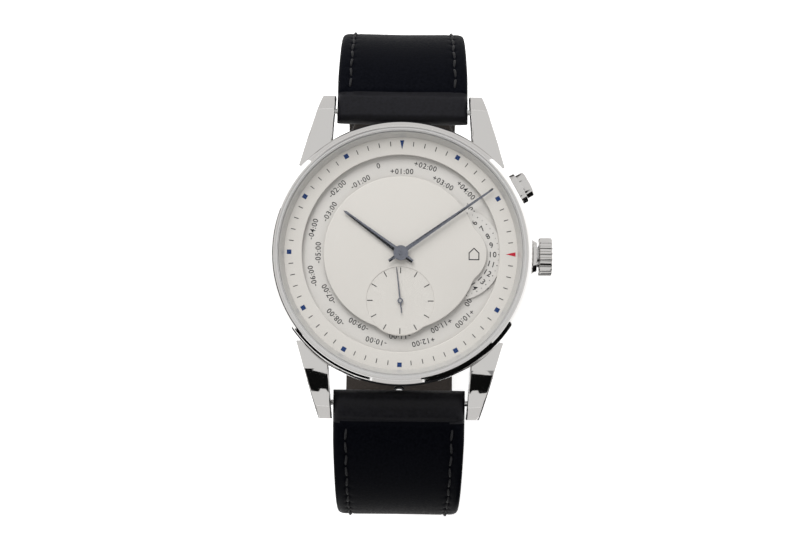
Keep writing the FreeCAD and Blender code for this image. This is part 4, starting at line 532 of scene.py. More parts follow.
def dial_outline():
    """Closed outline (x, y) of the inner dial, counted against the clock from the three."""
    three, three_end = swelling(4.65, HOME, 2.4)
    six, six_end = swelling(SMALL, DROP, FILLET)
    left = np.linspace(three_end, 1.5 * math.pi - six_end, 170)
    right = np.linspace(1.5 * math.pi + six_end, 2 * math.pi - three_end, 40)
    arcs = [three, BIG * np.stack([np.cos(left), np.sin(left)], 1),
            np.stack([six[:, 1], -six[:, 0]], 1), BIG * np.stack([np.cos(right), np.sin(right)], 1)]
    loop = np.concatenate(arcs)
    keep = np.linalg.norm(loop - np.roll(loop, 1, 0), axis=1) > 1e-4
    return loop[keep]


outline = dial_outline()
print("inner dial outline:", len(outline), "points, lowest", round(outline[:, 1].min(), 2), "mm")

# %% [markdown]
# The small seconds dial is sunk a hair below the face and turned with fine circles. The face
# round it is therefore a flat sheet with a round hole, and the sunk disc is a turned plate of
# its own whose ripples are real geometry: every fifth of a millimetre the height rises and falls
# by a few thousandths.

# %% Inner dial with the sunk small seconds
def inner_dial():
    """Rings: bottom edge, top edge rounded in five steps, then a fill round the sunk circle."""
    count, sunk, ease = len(outline), 96, 0.13
    rings = [np.column_stack([outline, np.full(count, lifted(8.05))])]
    for turn in np.linspace(0, math.pi / 2, 6):
        loop = inset(outline, ease * (1 - math.cos(turn)))
        height = lifted(DIAL_FACE - ease + ease * math.sin(turn))
        rings.append(np.column_stack([loop, np.full(count, height)]))
    mesh = bmesh.new()
    rows = [[mesh.verts.new(p * MM) for p in ring] for ring in rings]
    for low, high in zip(rows, rows[1:]):
        for k in range(count):
            mesh.faces.new((low[k], low[(k + 1) % count], high[(k + 1) % count], high[k]))
    mesh.faces.new(rows[0][::-1])
    angle = full_turn(sunk)
    hole = np.column_stack([5.13 * np.cos(angle), -DROP + 5.13 * np.sin(angle),
                            np.full(sunk, lifted(DIAL_FACE))])
    deep = hole - (0, 0, 0.08)
    top = [mesh.verts.new(p * MM) for p in hole]
    low = [mesh.verts.new(p * MM) for p in deep]
    edges = []
    for ring in (rows[-1], top):
        for k in range(len(ring)):
            pair = (ring[k], ring[(k + 1) % len(ring)])
            edges.append(mesh.edges.get(pair) or mesh.edges.new(pair))
    bmesh.ops.triangle_fill(mesh, edges=edges, use_beauty=True, normal=(0, 0, 1))
    for k in range(sunk):
        mesh.faces.new((top[k], low[k], low[(k + 1) % sunk], top[(k + 1) % sunk]))
    mesh.faces.new(low)
    bmesh.ops.recalc_face_normals(mesh, faces=mesh.faces)
    made = bpy.data.meshes.new("inner_dial_face")
    mesh.to_mesh(made)
    mesh.free()
    return made


dial_face = dressed("inner_dial_face", inner_dial(), "case", dial_silver, replaced=["inner_dial"])
r = np.linspace(5.1, 0.1, 150)
ripple = 8.374 + 0.004 * np.cos(2 * math.pi * r / 0.2)
turned("small_seconds_dial", [(0.1, 8.3), (5.1, 8.3), *np.stack([r, ripple], 1)], "case",
       dial_silver, centre=(0, -DROP), count=144, sharp=180)
print("inner dial:", len(dial_face.data.polygons), "faces")

# %% [markdown]
# Printing is a film of paint a few thousandths of a millimetre thick. Every line is a thin
# prism, and all lines of one colour are joined into one piece. A line at an angle is the same
# rectangle, turned about the middle of its dial.

# %% Printed lines
def turned_flat(shape, angle, centre=(0.0, 0.0)):
    """Turns a flat outline clockwise by an angle in degrees from 12, about the dial's middle."""
    return np.asarray(shape, float) @ spin(-angle) + centre


def printed(name, shapes, height, body, finish, thick=0.012):
    """Joins flat outlines into one piece of thin prisms that stand on a face."""
    parts = []
    for shape in shapes:
        n = len(shape)
        sides = [np.column_stack([shape, np.full(n, lifted(z))]) for z in (height, height + thick)]
        parts.append((np.concatenate(sides), capped(2, n)))
    return as_piece(name, *joined(parts), body, finish)


def bar(width, low, high):
    """Rectangle that points to 12, between two radii."""
    return [(-width / 2, low), (width / 2, low), (width / 2, high), (-width / 2, high)]


minutes = [turned_flat(bar(0.12, 16.2, 16.9), 6 * k) for k in range(60) if k % 5]
printed("minute_track", minutes, DIAL_FACE, "case", dial_print)
seconds = [turned_flat(bar(0.13, 4.13, 5.0), 30 * k, (0, -DROP)) for k in range(12)]
printed("small_seconds_track", seconds, SUNK_FACE, "case", dial_print)
squares = [turned_flat(bar(0.68, 16.41, 17.09), 30 * k) for k in range(12) if k not in (0, 3)]
squares.append([(-0.32, 17.05), (0.32, 17.05), (0.0, 15.66)])
printed("hour_markers", squares, DIAL_FACE, "case", marker_blue, 0.02)
printed("home_marker", [turned_flat([(-0.33, 17.2), (0.33, 17.2), (0.0, 15.75)], 90)], DIAL_FACE, "case",
        marker_red, 0.02)
house = np.array([(-0.73, -0.85), (0.73, -0.85), (0.73, 0.15), (0.0, 0.85), (-0.73, 0.15)]) + (10.98, 0.0)
walls = []
for k in range(5):
    a, b = house[k], house[(k + 1) % 5]
    way = (b - a) / np.linalg.norm(b - a)
    out = np.array([way[1], -way[0]]) * 0.075
    a, b = a - way * 0.07, b + way * 0.07
    walls.append(np.array([a - out, b - out, b + out, a + out]))
printed("home_sign", walls, DIAL_FACE, "case", dial_print)
print("minute strokes", len(minutes), "- hour markers", len(squares))

# %% [markdown]
# Figures are drawn with the built-in typeface, slimmed a little, and turned into a mesh at a
# large size. Only then are they shrunk to under a millimetre and laid along their circle. The
# world ring carries one plain offset for each of its 24 zones in two staggered rows, so that
# neighbours never touch.

# %% Printed figures
def figure_mesh(text):
    """Flat mesh of a text, one unit high in its capitals, centred on its own middle."""
    curve = bpy.data.curves.new("figure", "FONT")
    curve.body = text
    curve.align_x = "CENTER"
    curve.resolution_u = 3
    curve.offset = 0.006
    curve.extrude = 0.01
    curve.space_character = 1.12
    holder = bpy.data.objects.new("figure", curve)
    bpy.context.scene.collection.objects.link(holder)
    bpy.context.view_layer.update()
    mesh = bpy.data.meshes.new_from_object(holder.evaluated_get(bpy.context.evaluated_depsgraph_get()))
    flat = np.empty(len(mesh.vertices) * 3)
    mesh.vertices.foreach_get("co", flat)
    faces = [tuple(f.vertices) for f in mesh.polygons]
    bpy.data.objects.remove(holder)
    bpy.data.meshes.remove(mesh)
    bpy.data.curves.remove(curve)
    return flat.reshape(-1, 3), faces


CAPITAL = np.ptp(figure_mesh("H")[0][:, 1])


def lettered(name, labels, height, body, finish):
    """labels: (text, capital height, x, y, turn in degrees against the clock), all on one face."""
    parts = []
    for text, tall, x, y, turn in labels:
        flat, loops = figure_mesh(text)
        flat[:, 1] -= CAPITAL / 2
        flat *= tall / CAPITAL
        above = flat[:, 2] - flat[:, 2].min() + lifted(height)
        parts.append((np.column_stack([flat[:, :2] @ spin(turn) + (x, y), above]), loops))
    piece = as_piece(name, *joined(parts), body, finish)
    print(name, "-", len(labels), "figures,", len(piece.data.polygons), "faces")
    return piece


zones = []
for k in range(24):
    hours = (k + 1 + 11) % 24 - 11
    angle = 90 - 15 * k
    radius = 13.72 if k % 2 else 12.45
    text = "0" if hours == 0 else f"{hours:+03d}:00"
    a = math.radians(angle)
    zones.append((text, 0.79, radius * math.cos(a), radius * math.sin(a), angle - 90))
lettered("zone_figures", zones, RING_FACE, "world_ring", dial_print)

# %% [markdown]
# The home disc turns once a day below a corner of the window. Its 24 figures point outwards from
# its own middle, right of the hands, with ten at the red marker. A ring of small dots marks the
# hours and half hours.

# %% Home time disc
hours = []
dots = []
for k in range(24):
    angle = -15 * (k + 1 - 10)
    a = math.radians(angle)
    hours.append((str(k + 1), 0.82, HOME + 5.5 * math.cos(a), 5.5 * math.sin(a), angle))
for k in range(48):
    a = math.radians(7.5 * k)
    size = 0.06 if k % 2 else 0.085
    ring = full_turn(8)
    spot = (HOME + 6.42 * math.cos(a), 6.42 * math.sin(a))
    dots.append(size * np.stack([np.cos(ring), np.sin(ring)], 1) + spot)
lettered("home_figures", hours, HOME_FACE, "home_disc", dial_print)
printed("home_dots", dots, HOME_FACE, "home_disc", dial_print)
DISC = [(0.05, 7.7), (7.0, 7.7), (7.0, 7.9), (0.05, 7.9)]
turned("home_disc_face", eased(DISC, 0.03), "home_disc", ring_silver, centre=(HOME, 0), count=160)

# %% [markdown]
# Hands are stamped batons with a roof: both sides slope from a ridge, so one side is light and
# the other dark. The width runs evenly from the hub to a short point. The section is carried
# along the hand, and a turned hub disc sits on the pipe.

# %% Hands
def hand(name, node, length, tail, wide, tip, low, angle, body, centre=(0.0, 0.0), hub=1.12, droop=0.0,
         ridge=0.18):
    """Roofed baton: half width runs from wide to tip, the ridge stands over the middle line."""
    shoulder = length - 1.4 * tip
    along = np.concatenate([np.linspace(-tail, 0, 8), np.linspace(0, shoulder, 40)[1:],
                            np.linspace(shoulder, length, 7)[1:]])
    share = np.clip(along / shoulder, 0, 1)
    half = (wide + (tip - wide) * share) / 2
    half = np.where(along < 0, wide / 2 * (1 + 0.38 * along / tail), half)
    point = np.clip((length - along) / (1.4 * tip), 0, 1)
    half = np.maximum(half * point, 0.02)
    drop = -droop * np.clip((along - 0.86 * length) / (0.14 * length), 0, 1) ** 2
    top = low + 0.07 + (ridge - 0.07) * np.clip(half / (tip / 2), 0.3, 1)
    across = np.array([-1, -0.94, 0, 0.94, 1, 1, -1])
    lift = np.stack([low + 0.05 + 0 * top, low + 0.075 + 0 * top, top, low + 0.075 + 0 * top,
                     low + 0.05 + 0 * top, low + 0 * top, low + 0 * top], 1)
    x = half[:, None] * across
    z = lifted(lift + drop[:, None])
    count = len(across)
    flat = turned_flat(np.stack([x.ravel(), np.repeat(along, count)], 1), angle, centre)
    points = np.column_stack([flat, z.ravel()])
    as_piece(name, points, capped(len(along), count), body, hand_blue, sharp=12, replaced=[node])
    rim = eased([(0.03, low), (hub, low), (hub, low + ridge), (0.03, low + ridge)], 0.04)
    turned(name + "_hub", rim, body, hand_blue, centre, 72)


hand("hour_hand_blade", "hour_hand", 10.76, 2.2, 0.86, 0.36, 8.85, 306.0, "hour_works")
hand("minute_hand_blade", "minute_hand", 17.0, 2.2, 0.66, 0.28, 9.15, 54.6, "minute_works", droop=0.12)
hand("seconds_hand_blade", "small_seconds_hand", 5.12, 1.9, 0.24, 0.13, 8.58, 353.0, "seconds_works",
     (0, -DROP), 0.42, ridge=0.14)
CAP = eased([(0.02, 8.6), (0.4, 8.6), (0.4, 9.44), (0.15, 9.5), (0.12, 9.25), (0.02, 9.25)], 0.05)
turned("hand_post", CAP, "minute_works", hand_blue, count=48, replaced=["cannon_pinion"])
PIN = eased([(0.02, 8.6), (0.15, 8.6), (0.15, 8.79), (0.02, 8.79)], 0.03)
turned("seconds_pin", PIN, "seconds_works", bar_steel, (0, -DROP), 32)
print("three hands ready")

# %% [markdown]
# The crown is a fluted drum. Seen from its end the radius is that of the drum, less the depth of
# a round groove wherever one of the twenty flutes passes. The rim is rounded, and the flutes run
# out in it.

# %% Crown
CROWN_HEIGHT, BUTTON_HEIGHT, BUTTON_TURN = 4.45, 4.5, 30


def smooth_round(angle):
    """Depth of no flute at all."""
    return 0 * angle


def flutes(angle):
    """Depth of the nearest flute: a circle of radius 0.36 whose middle lies 0.12 outside the drum."""
    away = (angle + math.pi / 20) % (math.pi / 10) - math.pi / 20
    side = 2.9 * away
    return np.clip(np.sqrt(np.clip(0.36 ** 2 - side ** 2, 0, None)) - 0.12, 0, None)


def outwards(name, profile, body, finish, ripple=smooth_round, count=120, height=CROWN_HEIGHT, turn=0.0,
             sharp=32.0, replaced=()):
    """Lathe about an axis that points out of the case: x = way out, the radius may ripple with t."""
    angle = full_turn(count)
    x, r = profile[:, :1], profile[:, 1:]
    radius = r - ripple(angle) * np.clip((r - 2.2) / 0.4, 0, 1)
    y, z = radius * np.cos(angle), radius * np.sin(angle)
    a = math.radians(turn)
    flat = x + 0 * angle
    points = np.stack([flat * math.cos(a) - y * math.sin(a), flat * math.sin(a) + y * math.cos(a),
                       lifted(height) + z], 2).reshape(-1, 3)
    faces = grid_faces(len(profile), count, close_rows=True)
    return as_piece(name, points, faces, body, finish, sharp, replaced)


DRUM = eased([(20.85, 1.62), (20.85, 2.9), (22.9, 2.9), (22.9, 0.02), (22.3, 0.02), (22.3, 1.62)], 0.3, 8)
crown = outwards("crown_drum", DRUM, "crown_and_stem", crown_steel, flutes, 480, sharp=40,
                 replaced=["crown"])
COLLAR = eased([(19.2, 1.5), (19.2, 2.75), (19.6, 2.75), (20.55, 2.4), (20.55, 1.5)], 0.06)
outwards("crown_collar", COLLAR, "case", case_steel)
print("crown:", len(crown.data.polygons), "faces")

# %% [markdown]
# The button above the crown is a short polished cylinder in a collar. Its end is gently domed.
# Collar and cap are turned about an axis 30 degrees above the three.

# %% Zone button
SLEEVE = eased([(18.6, 2.12), (18.6, 2.5), (20.95, 2.5), (20.95, 2.12)], 0.07)
outwards("button_collar", SLEEVE, "case", case_steel, height=BUTTON_HEIGHT, turn=BUTTON_TURN)
KNOB = np.concatenate([
    eased([(20.5, 0.02), (20.5, 2.05), (22.12, 2.05)], 0.05)[:-3],
    arc((22.0, 2.05), (22.16, 1.92), 0.15, 1, 4), arc((22.12, 2.05), (22.35, 0.02), 9.2, 1, 14)[2:]])
outwards("button_cap", KNOB, "zone_button", crown_steel, height=BUTTON_HEIGHT, turn=BUTTON_TURN, sharp=40)
print("button ready")

# %% [markdown]
# The strap follows a path of three arcs that touch: over the shoulder from the bar, down the
# side, and round below the wrist. A place on the path is found by its distance from the bar, and
# its heading tells which way is out.

# %% Path of a strap half
def arc_run(centre, radius, start, end, step=0.6):
    """Arc by heading in degrees: (y, z) = centre + r (-sin a, cos a), with the heading itself."""
    count = max(3, int(abs(math.radians(end - start)) * radius / step))
    a = np.radians(np.linspace(start, end, count))
    return np.stack([centre[0] - radius * np.sin(a), centre[1] + radius * np.cos(a), np.degrees(a)], 1)


def strap_path(reach, side, bottom, tail):
    """Rows (y, z, heading, distance) from the bar; the last arc goes on past the lowest place."""
    bar_y, bar_z, widest = 22.3, BACK + 1.75, 7.0
    out, up = reach - bar_y, bar_z - widest
    shoulder = (out * out + up * up) / (2 * out)
    first = -math.degrees(math.asin((bar_y - reach + shoulder) / shoulder))
    run = [arc_run((reach - shoulder, widest), shoulder, first, -90)]
    drop = widest - bottom
    big = ((reach - side) ** 2 + drop * drop - side * side) / (2 * (drop - side))
    turn = -180 + math.degrees(math.atan2(reach - side, bottom + big - widest))
    run.append(arc_run((reach - side, widest), side, -90, turn)[1:])
    run.append(arc_run((0, bottom + big), big, turn, -180)[1:])
    if tail:
        radius, centre = tail
        run.append(arc_run((0, centre), radius, -180, -180 - math.degrees(34.0 / radius))[1:])
    rows = np.concatenate(run)
    way = np.concatenate([[0], np.cumsum(np.hypot(np.diff(rows[:, 0]), np.diff(rows[:, 1])))])
    return np.column_stack([rows, way]), big


def at(path, distance):
    """y, z and heading in radians at distances along a path; before the bar it runs straight on."""
    inside = np.clip(distance, 0, path[-1, 3])
    y, z, a = (np.interp(inside, path[:, 3], path[:, k]) for k in range(3))
    a = np.radians(a)
    beyond = distance - inside
    return y + beyond * np.cos(a), z + beyond * np.sin(a), a


short_path, big_radius = strap_path(35.8, 22.0, -24.0, None)
long_path, _ = strap_path(38.0, 20.0, -20.0, (big_radius - 4.0, -24.0 + big_radius))
print("short strap path", round(short_path[-1, 3], 1), "mm, long", round(long_path[-1, 3], 1), "mm")

# %% [markdown]
# A strap half is one leather skin. Across the strap its section is a flat pillow: the height
# falls off steeply only at the edges. Along the strap it starts as a roll round the bar, dips in
# a crease where the turned-under end is glued, and gets thinner towards the buckle. Where the
# strap bends hard at the shoulder, its edges curl up a little, so it looks hollow across.

# %% Leather skin
SHORT, LONG = 76.0, long_path[-1, 3]
BAR_ROLL, BUCKLE_ROLL = 1.95, 1.5
FIRST_HOLE, PITCH, STITCH_LINE = 3.3, 2.07, 1.95


def strap_width(s, total, pointed):
    """20 mm at the lugs, 18 mm past the taper, and a rounded point at the end of the long half."""
    full = np.interp(s, [6.0, 42.0], [20.0, 18.0])
    if not pointed:
        return full
    left = np.clip((total - s) / 11.0, 0, 1)
    return 5.0 + (full - 5.0) * np.sqrt(np.clip(1 - (1 - left) ** 2, 0, 1))


def stitch_dimples(s, x, line, last):
    """Pull of the thread: a shallow channel along the row, deepest at each needle hole."""
    near = np.exp(-((np.abs(x) - line) / 0.42) ** 2)
    hole = 0.5 + 0.5 * np.cos(2 * math.pi * (s - FIRST_HOLE) / PITCH)
    on = ((s > FIRST_HOLE - 0.8) & (s < last + 0.8)).astype(float)
    return near * on * (0.10 + 0.20 * hole ** 3)


def edge_curl(s, share):
    """Lift of the strap's edges at the shoulder: falls off with the square from edge to middle."""
    return 0.3 * share ** 2 * np.exp(-((s - 16) / 9.0) ** 2)


def pillow_end(beyond, thick):
    """Height of a rolled end: a quarter circle of radius thick over the way past the end."""
    return np.sqrt(np.clip(thick ** 2 - np.clip(beyond, 0, thick) ** 2, 0, None))


def skin(path, total, pointed, low, high, stations, around=96):
    """Grid of the leather: rows along the strap, columns round its section from edge to edge."""
    s = stations[:, None]
    t = full_turn(around)[None, :]
    cos, sin = np.cos(t), np.sin(t)
    half = strap_width(np.clip(s, 0, None), total, pointed) / 2
    x = half * np.sign(cos) * np.abs(cos) ** 0.16
    up = np.clip(sin, 0, None) ** 0.55
    down = np.clip(-sin, 0, None) ** 0.35
    under, over = low(s), high(s, x)
    n = under * down + over * up + 0.25 * (over + under) * (1 - up - down) + edge_curl(s, x / half)
    y, z, a = at(path, s)
    return np.stack([x + 0 * y, y - n * np.sin(a), z + n * np.cos(a)], 2)


def upper_top(total, tail_fold, last):
    """Height of the face side: thickness with the roll, the crease and the stitch channel."""
    def height(s, x):
        thick = np.interp(s, [4.0, 44.0], [2.0, 1.3])
        end = pillow_end(s - total, BUCKLE_ROLL) if tail_fold else 9.0
        wave = 0.12 * np.sin(0.55 * x + 0.8)
        crease = 0.3 * np.exp(-((s - 2.35 - wave) / 0.36) ** 2) - 0.07 * np.exp(-((s - 3.3) / 0.6) ** 2)
        line = strap_width(np.clip(s, 0, None), total, not tail_fold) / 2 - STITCH_LINE
        body = np.minimum(np.where(s < 0, pillow_end(-s, BAR_ROLL), thick), end)
        return body - crease - stitch_dimples(s, x, line, last)
    return height


def upper_low(total, tail_fold):
    """Height of the glued side: folded round the bar, flat between, folded at the buckle."""
    def height(s):
        low = np.where(s < 0, -pillow_end(-s, BAR_ROLL), -BAR_ROLL * (1 - np.clip(s / 5.0, 0, 1)))
        if not tail_fold:
            return low
        back = -BUCKLE_ROLL * (1 - np.clip((total - s) / 5.0, 0, 1))
        return np.where(s > total, -pillow_end(s - total, BUCKLE_ROLL), np.minimum(low, back))
    return height


def closed_skin(name, grid, body, finish, flip=False, replaced=(), sharp=40.0):
    """Joins the rows of a skin and closes both ends with a fan to their middle."""
    rows, around = grid.shape[:2]
    points = grid.reshape(-1, 3)
    if flip:
        points = points * (-1, -1, 1)
    ends = np.stack([points[:around].mean(0), points[-around:].mean(0)])
    faces = [tuple(f) for f in grid_faces(rows, around)]
    last, first_end = (rows - 1) * around, rows * around
    faces += [(k, (k + 1) % around, first_end) for k in range(around)]
    faces += [(last + (k + 1) % around, last + k, first_end + 1) for k in range(around)]
    return as_piece(name, np.concatenate([points, ends]), faces, body, finish, sharp, replaced)


def rolled(end, inner, count=14):
    """Distances that run closely round a rolled end: from its tip to its middle."""
    return end * np.cos(np.linspace(0, math.pi / 2, count)) + inner


def tapered(start, end, step, count, point=11.0):
    """Distances in even steps that crowd together towards a rounded point."""
    return np.concatenate([np.arange(start, end - point, step),
                           end - point + point * np.sin(np.linspace(0, math.pi / 2, count))])


short_top, long_top = upper_top(SHORT, True, 66), upper_top(LONG, False, LONG - 9)
short_s = np.concatenate([rolled(-1.949, 0), np.arange(0.25, SHORT, 0.27), rolled(1.499, SHORT)[::-1]])
short_grid = skin(short_path, SHORT, False, upper_low(SHORT, True), short_top, short_s)
short_skin = closed_skin("short_strap_leather", short_grid, "strap_12", strap_leather,
                         replaced=["strap_short_upper"])
long_s = np.concatenate([rolled(-1.949, 0), tapered(0.25, LONG, 0.27, 60)])
long_grid = skin(long_path, LONG, True, upper_low(LONG, False), long_top, long_s)
long_skin = closed_skin("long_strap_leather", long_grid, "strap_6", strap_leather, flip=True,
                        replaced=["strap_long_upper"])
for piece in (short_skin, long_skin):
    # Faces of the rolled end over the bar take the finish with the painted sheen.
    piece.data.materials.append(sheen_painted_leather)
    middles = np.array([f.center for f in piece.data.polygons]) / MM
    rolled_end_sheen = (np.abs(middles[:, 1]) < 25.3) & (middles[:, 2] > 15)
    piece.data.polygons.foreach_set("material_index", rolled_end_sheen.astype(np.int32))
print("leather:", len(short_skin.data.polygons), "+", len(long_skin.data.polygons), "faces")

# %% [markdown]
# The lining is a thin calf leather glued below. It starts where the upper leather's fold ends
# and is skived flat, so it is a plain ribbon with softly rounded edges.

# %% Lining
def ribbon(path, total, pointed, stations):
    """Skin with a flat lower and a flat upper side, 0.8 mm apart."""
    return skin(path, total, pointed, lambda s: -0.8 + 0 * s, lambda s, x: -0.02 + 0 * s * x, stations, 48)


FOLD = 4.9
short_lining = closed_skin(
    "short_strap_lining", ribbon(short_path, SHORT, False, np.arange(FOLD, SHORT - FOLD, 0.9)), "strap_12",
    strap_lining, replaced=["strap_short_lining"])
long_lining = closed_skin(
    "long_strap_lining", ribbon(long_path, LONG, True, tapered(FOLD, LONG, 0.9, 30)), "strap_6",
    strap_lining, flip=True, replaced=["strap_long_lining"])
print("lining:", len(short_lining.data.polygons), "+", len(long_lining.data.polygons), "faces")

# %% [markdown]
# The seven holes of the long half are punched, not painted. A row of small cylinders along the
# path is taken away from leather and lining in one step, and the result is kept as the mesh.

# %% Punched holes
def punch(piece, path, total, count=7, radius=0.95):
    """Takes a row of cylinders, square to the strap, away from a finished piece."""
    parts = []
    around = 28
    ring = full_turn(around)[:, None]
    for k in range(count):
        y, z, a = at(path, total - 24.0 - 6.0 * k)
        along, out = np.array([0, math.cos(a), math.sin(a)]), np.array([0, -math.sin(a), math.cos(a)])
        circle = np.array([0, y, z]) + radius * (np.cos(ring) * (1, 0, 0) + np.sin(ring) * along)
        parts.append((np.concatenate([circle - 3 * out, circle + 4 * out]), capped(2, around)))
    points, faces = joined(parts)
    cutter = as_piece("hole_punch", points * (-1, -1, 1), faces, "strap_6", strap_leather)
    cut = piece.modifiers.new("holes", "BOOLEAN")
    cut.object = cutter
    cut.operation = "DIFFERENCE"
    cut.solver = "EXACT"
    bpy.context.view_layer.update()
    made = bpy.data.meshes.new_from_object(piece.evaluated_get(bpy.context.evaluated_depsgraph_get()))
    piece.modifiers.clear()
    piece.data = made
    bpy.data.objects.remove(cutter)
    return piece


for piece in (long_skin, long_lining):
    punch(piece, long_path, LONG)
print("after punching:", len(long_skin.data.polygons), "faces")

# %% [markdown]
# Each stitch is a short bow of waxed thread between two needle holes. It leans a little to one
# side, as saddle stitches do, and dives into the leather at both ends. All stitches of one half
# are one piece, and each has only a few dozen faces.

# %% Stitches
def stitches(name, path, total, pointed, top, last, body):
    """Bows of radius 0.2 mm: height over the leather follows half a sine between the holes."""
    way = np.linspace(0, 1, 9)
    ring = full_turn(8)
    parts = []
    count = int((last - FIRST_HOLE) / PITCH)
    for side in (1, -1):
        for k in range(count):
            s = FIRST_HOLE + PITCH * (k + 0.1 + 0.8 * way)
            line = strap_width(s, total, pointed) / 2 - STITCH_LINE
            x = side * line + 0.16 * (way - 0.5) * (-1) ** k
            base = top(s, 0 * s + 4.0)
            curl = edge_curl(s, line / (line + STITCH_LINE))
            n = base + curl - 0.32 + 0.36 * np.sin(math.pi * way) ** 0.7
            y, z, a = at(path, s)
            thick = 0.19 * (0.75 + 0.25 * np.sin(math.pi * way))
            across = x[:, None] + thick[:, None] * np.cos(ring)
            out = n[:, None] + thick[:, None] * np.sin(ring)
            ys = y[:, None] - out * np.sin(a)[:, None]
            zs = z[:, None] + out * np.cos(a)[:, None]
            parts.append((np.stack([across, ys, zs], 2).reshape(-1, 3), capped(len(way), len(ring))))
    points, faces = joined(parts)
    if pointed:
        points = points * (-1, -1, 1)
    print(name, "-", count * 2, "stitches")
    return as_piece(name, points, faces, body, strap_thread, sharp=60)


stitches("short_strap_stitches", short_path, SHORT, False, short_top, 66, "strap_12")
stitches("long_strap_stitches", long_path, LONG, True, long_top, LONG - 9, "strap_6")

# %% [markdown]
# Two leather loops hold the strap's tail. Each is a band bent into a rounded rectangle. The
# rectangle is the path, and the band's own section, a thin pillow, is carried round it.

# %% Keepers
def keeper(name, distance, body, node):
    """Rounded rectangle about the strap, 5 mm wide and 0.9 mm thick, at a distance from the bar."""
    half, low, high, corner = 9.2, -1.0, 3.6, 0.9
    loop = []
    for cx, cn, start in ((half - corner, high - corner, 0), (-half + corner, high - corner, 90),
                          (-half + corner, low + corner, 180), (half - corner, low + corner, 270)):
        a = np.radians(np.linspace(start, start + 90, 8))
        loop.append(np.stack([cx + corner * np.cos(a), cn + corner * np.sin(a), np.cos(a), np.sin(a)], 1))
    loop = np.concatenate(loop)
    sides = []
    for here, there in zip(loop, np.roll(loop, -1, 0)):
        straight = np.hypot(*(there - here)[:2]) > 1
        sides.append(np.linspace(here, there, 9)[:-1] if straight else here[None])
    loop = np.concatenate(sides)
    t = full_turn(28)
    along = 2.5 * np.sign(np.cos(t)) * np.abs(np.cos(t)) ** 0.3
    out = 0.45 + 0.45 * np.sign(np.sin(t)) * np.abs(np.sin(t)) ** 0.6
    x = loop[:, :1] + loop[:, 2:3] * out
    n = loop[:, 1:2] + loop[:, 3:4] * out
    y0, z0, a0 = at(short_path, distance)
    y = y0 + along * math.cos(a0) - n * math.sin(a0)
    z = z0 + along * math.sin(a0) + n * math.cos(a0)
    grid = np.stack([x, y, z], 2)
    faces = grid_faces(len(loop), 28, close_rows=True)
    return as_piece(name, grid.reshape(-1, 3), faces, body, strap_leather, 60, [node])


keeper("fixed_loop", SHORT - 9.0, "strap_12", "fixed_keeper")
keeper("sliding_loop", SHORT - 21.0, "keeper", "floating_keeper")
print("keepers ready")

# %% [markdown]
# Smaller metal parts already have their right shape in the solids. A copy of the solid's mesh is
# merged, so that its facets shade as one round surface, and where an edge is broken in the
# workshop a narrow bevel is added. The copy then stands for the solid.

# %% Smooth copies of the small solids
def smooth_copy(node, finish, bevel=0.0):
    """Copies a solid's mesh, merges its doubled points and, if asked, breaks its edges."""
    mesh = bpy.data.meshes.new(node + "_skin")
    shell = bmesh.new()
    shell.from_mesh(frame["nodes"][node].data)
    bmesh.ops.remove_doubles(shell, verts=shell.verts, dist=1e-6)
    bmesh.ops.dissolve_limit(shell, angle_limit=math.radians(1.0), verts=shell.verts, edges=shell.edges)
    shell.to_mesh(mesh)
    shell.free()
    piece = dressed(node + "_skin", mesh, BODY_OF[node], finish, 28.0, [node])
    if bevel:
        edge = piece.modifiers.new("broken_edges", "BEVEL")
        edge.width = bevel * MM
        edge.segments = 3
        edge.limit_method = "ANGLE"
        edge.angle_limit = math.radians(40)
    return piece


BODY_OF = {n: b for b, members in frame["record"]["behaviour"]["bodies"].items() for n in members}
SMOOTH = [
    (bar_steel, 0, "winding_stem spring_bar_12 spring_bar_6 buckle_spring_bar seconds_arbor"),
    (bar_steel, 0.03, "setting_lever"), (bar_steel, 0.04, "case_back_screws"),
    (bar_steel, 0.05, "rotor_bearing"), (case_steel, 0.06, "case_back_ring"),
    (crown_steel, 0, "pusher_cap"), (rubber_seal, 0, "case_back_gasket"),
    (ring_silver, 0, "dial_spacer_ring"), (movement_plate, 0, "main_plate"),
    (movement_plate, 0.08, "three_quarter_plate balance_cock"), (wheel_brass, 0.04, "balance_wheel"),
    (wheel_brass, 0, "dial_plate hour_wheel mainspring_barrel centre_wheel third_wheel fourth_wheel"),
    (ruby, 0.05, "jewels"), (screw_blue, 0.05, "plate_screws"), (rotor_metal, 0.08, "rotor"),
    (spring_steel, 0, "hairspring pusher_spring escape_wheel pallet_fork"),
    (buckle_steel, 0.3, "buckle_frame"), (buckle_steel, 0.15, "buckle_tongue"),
]
for finish, bevel, members in SMOOTH:
    for member in members.split():
        smooth_copy(member, finish, bevel)
for member in ("crown_tube", "pusher_tube"):
    smooth_copy(member, bar_steel)
BACK_GLASS = eased([(0.05, 0.0), (15.2, 0.0), (15.2, 0.8), (0.05, 0.8)], 0.12)
turned("back_glass", BACK_GLASS, "case", clear_glass, replaced=["back_crystal"], slot="back_glass")
solid = frame["nodes"]["home_time_disc"]
solid.data.materials.clear()
solid.data.materials.append(wheel_brass)
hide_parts("home_time_disc")
print("smooth copies ready")

# %% [markdown]
# The coil spring under the button gets shorter as the button goes in, while its inner end stays.
# Here it only gets a mesh of its own.

# %% Spring under the button
spring = bpy.data.objects["pusher_spring_skin"]
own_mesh(spring)

# %% [markdown]
# The camera stands where the photographer stood: nearly above the dial, leaning a few degrees
# towards the six, about 35 cm away. One millimetre on the dial is 6.667 pixels of the 800 pixel
# wide picture, and this gives the focal length.

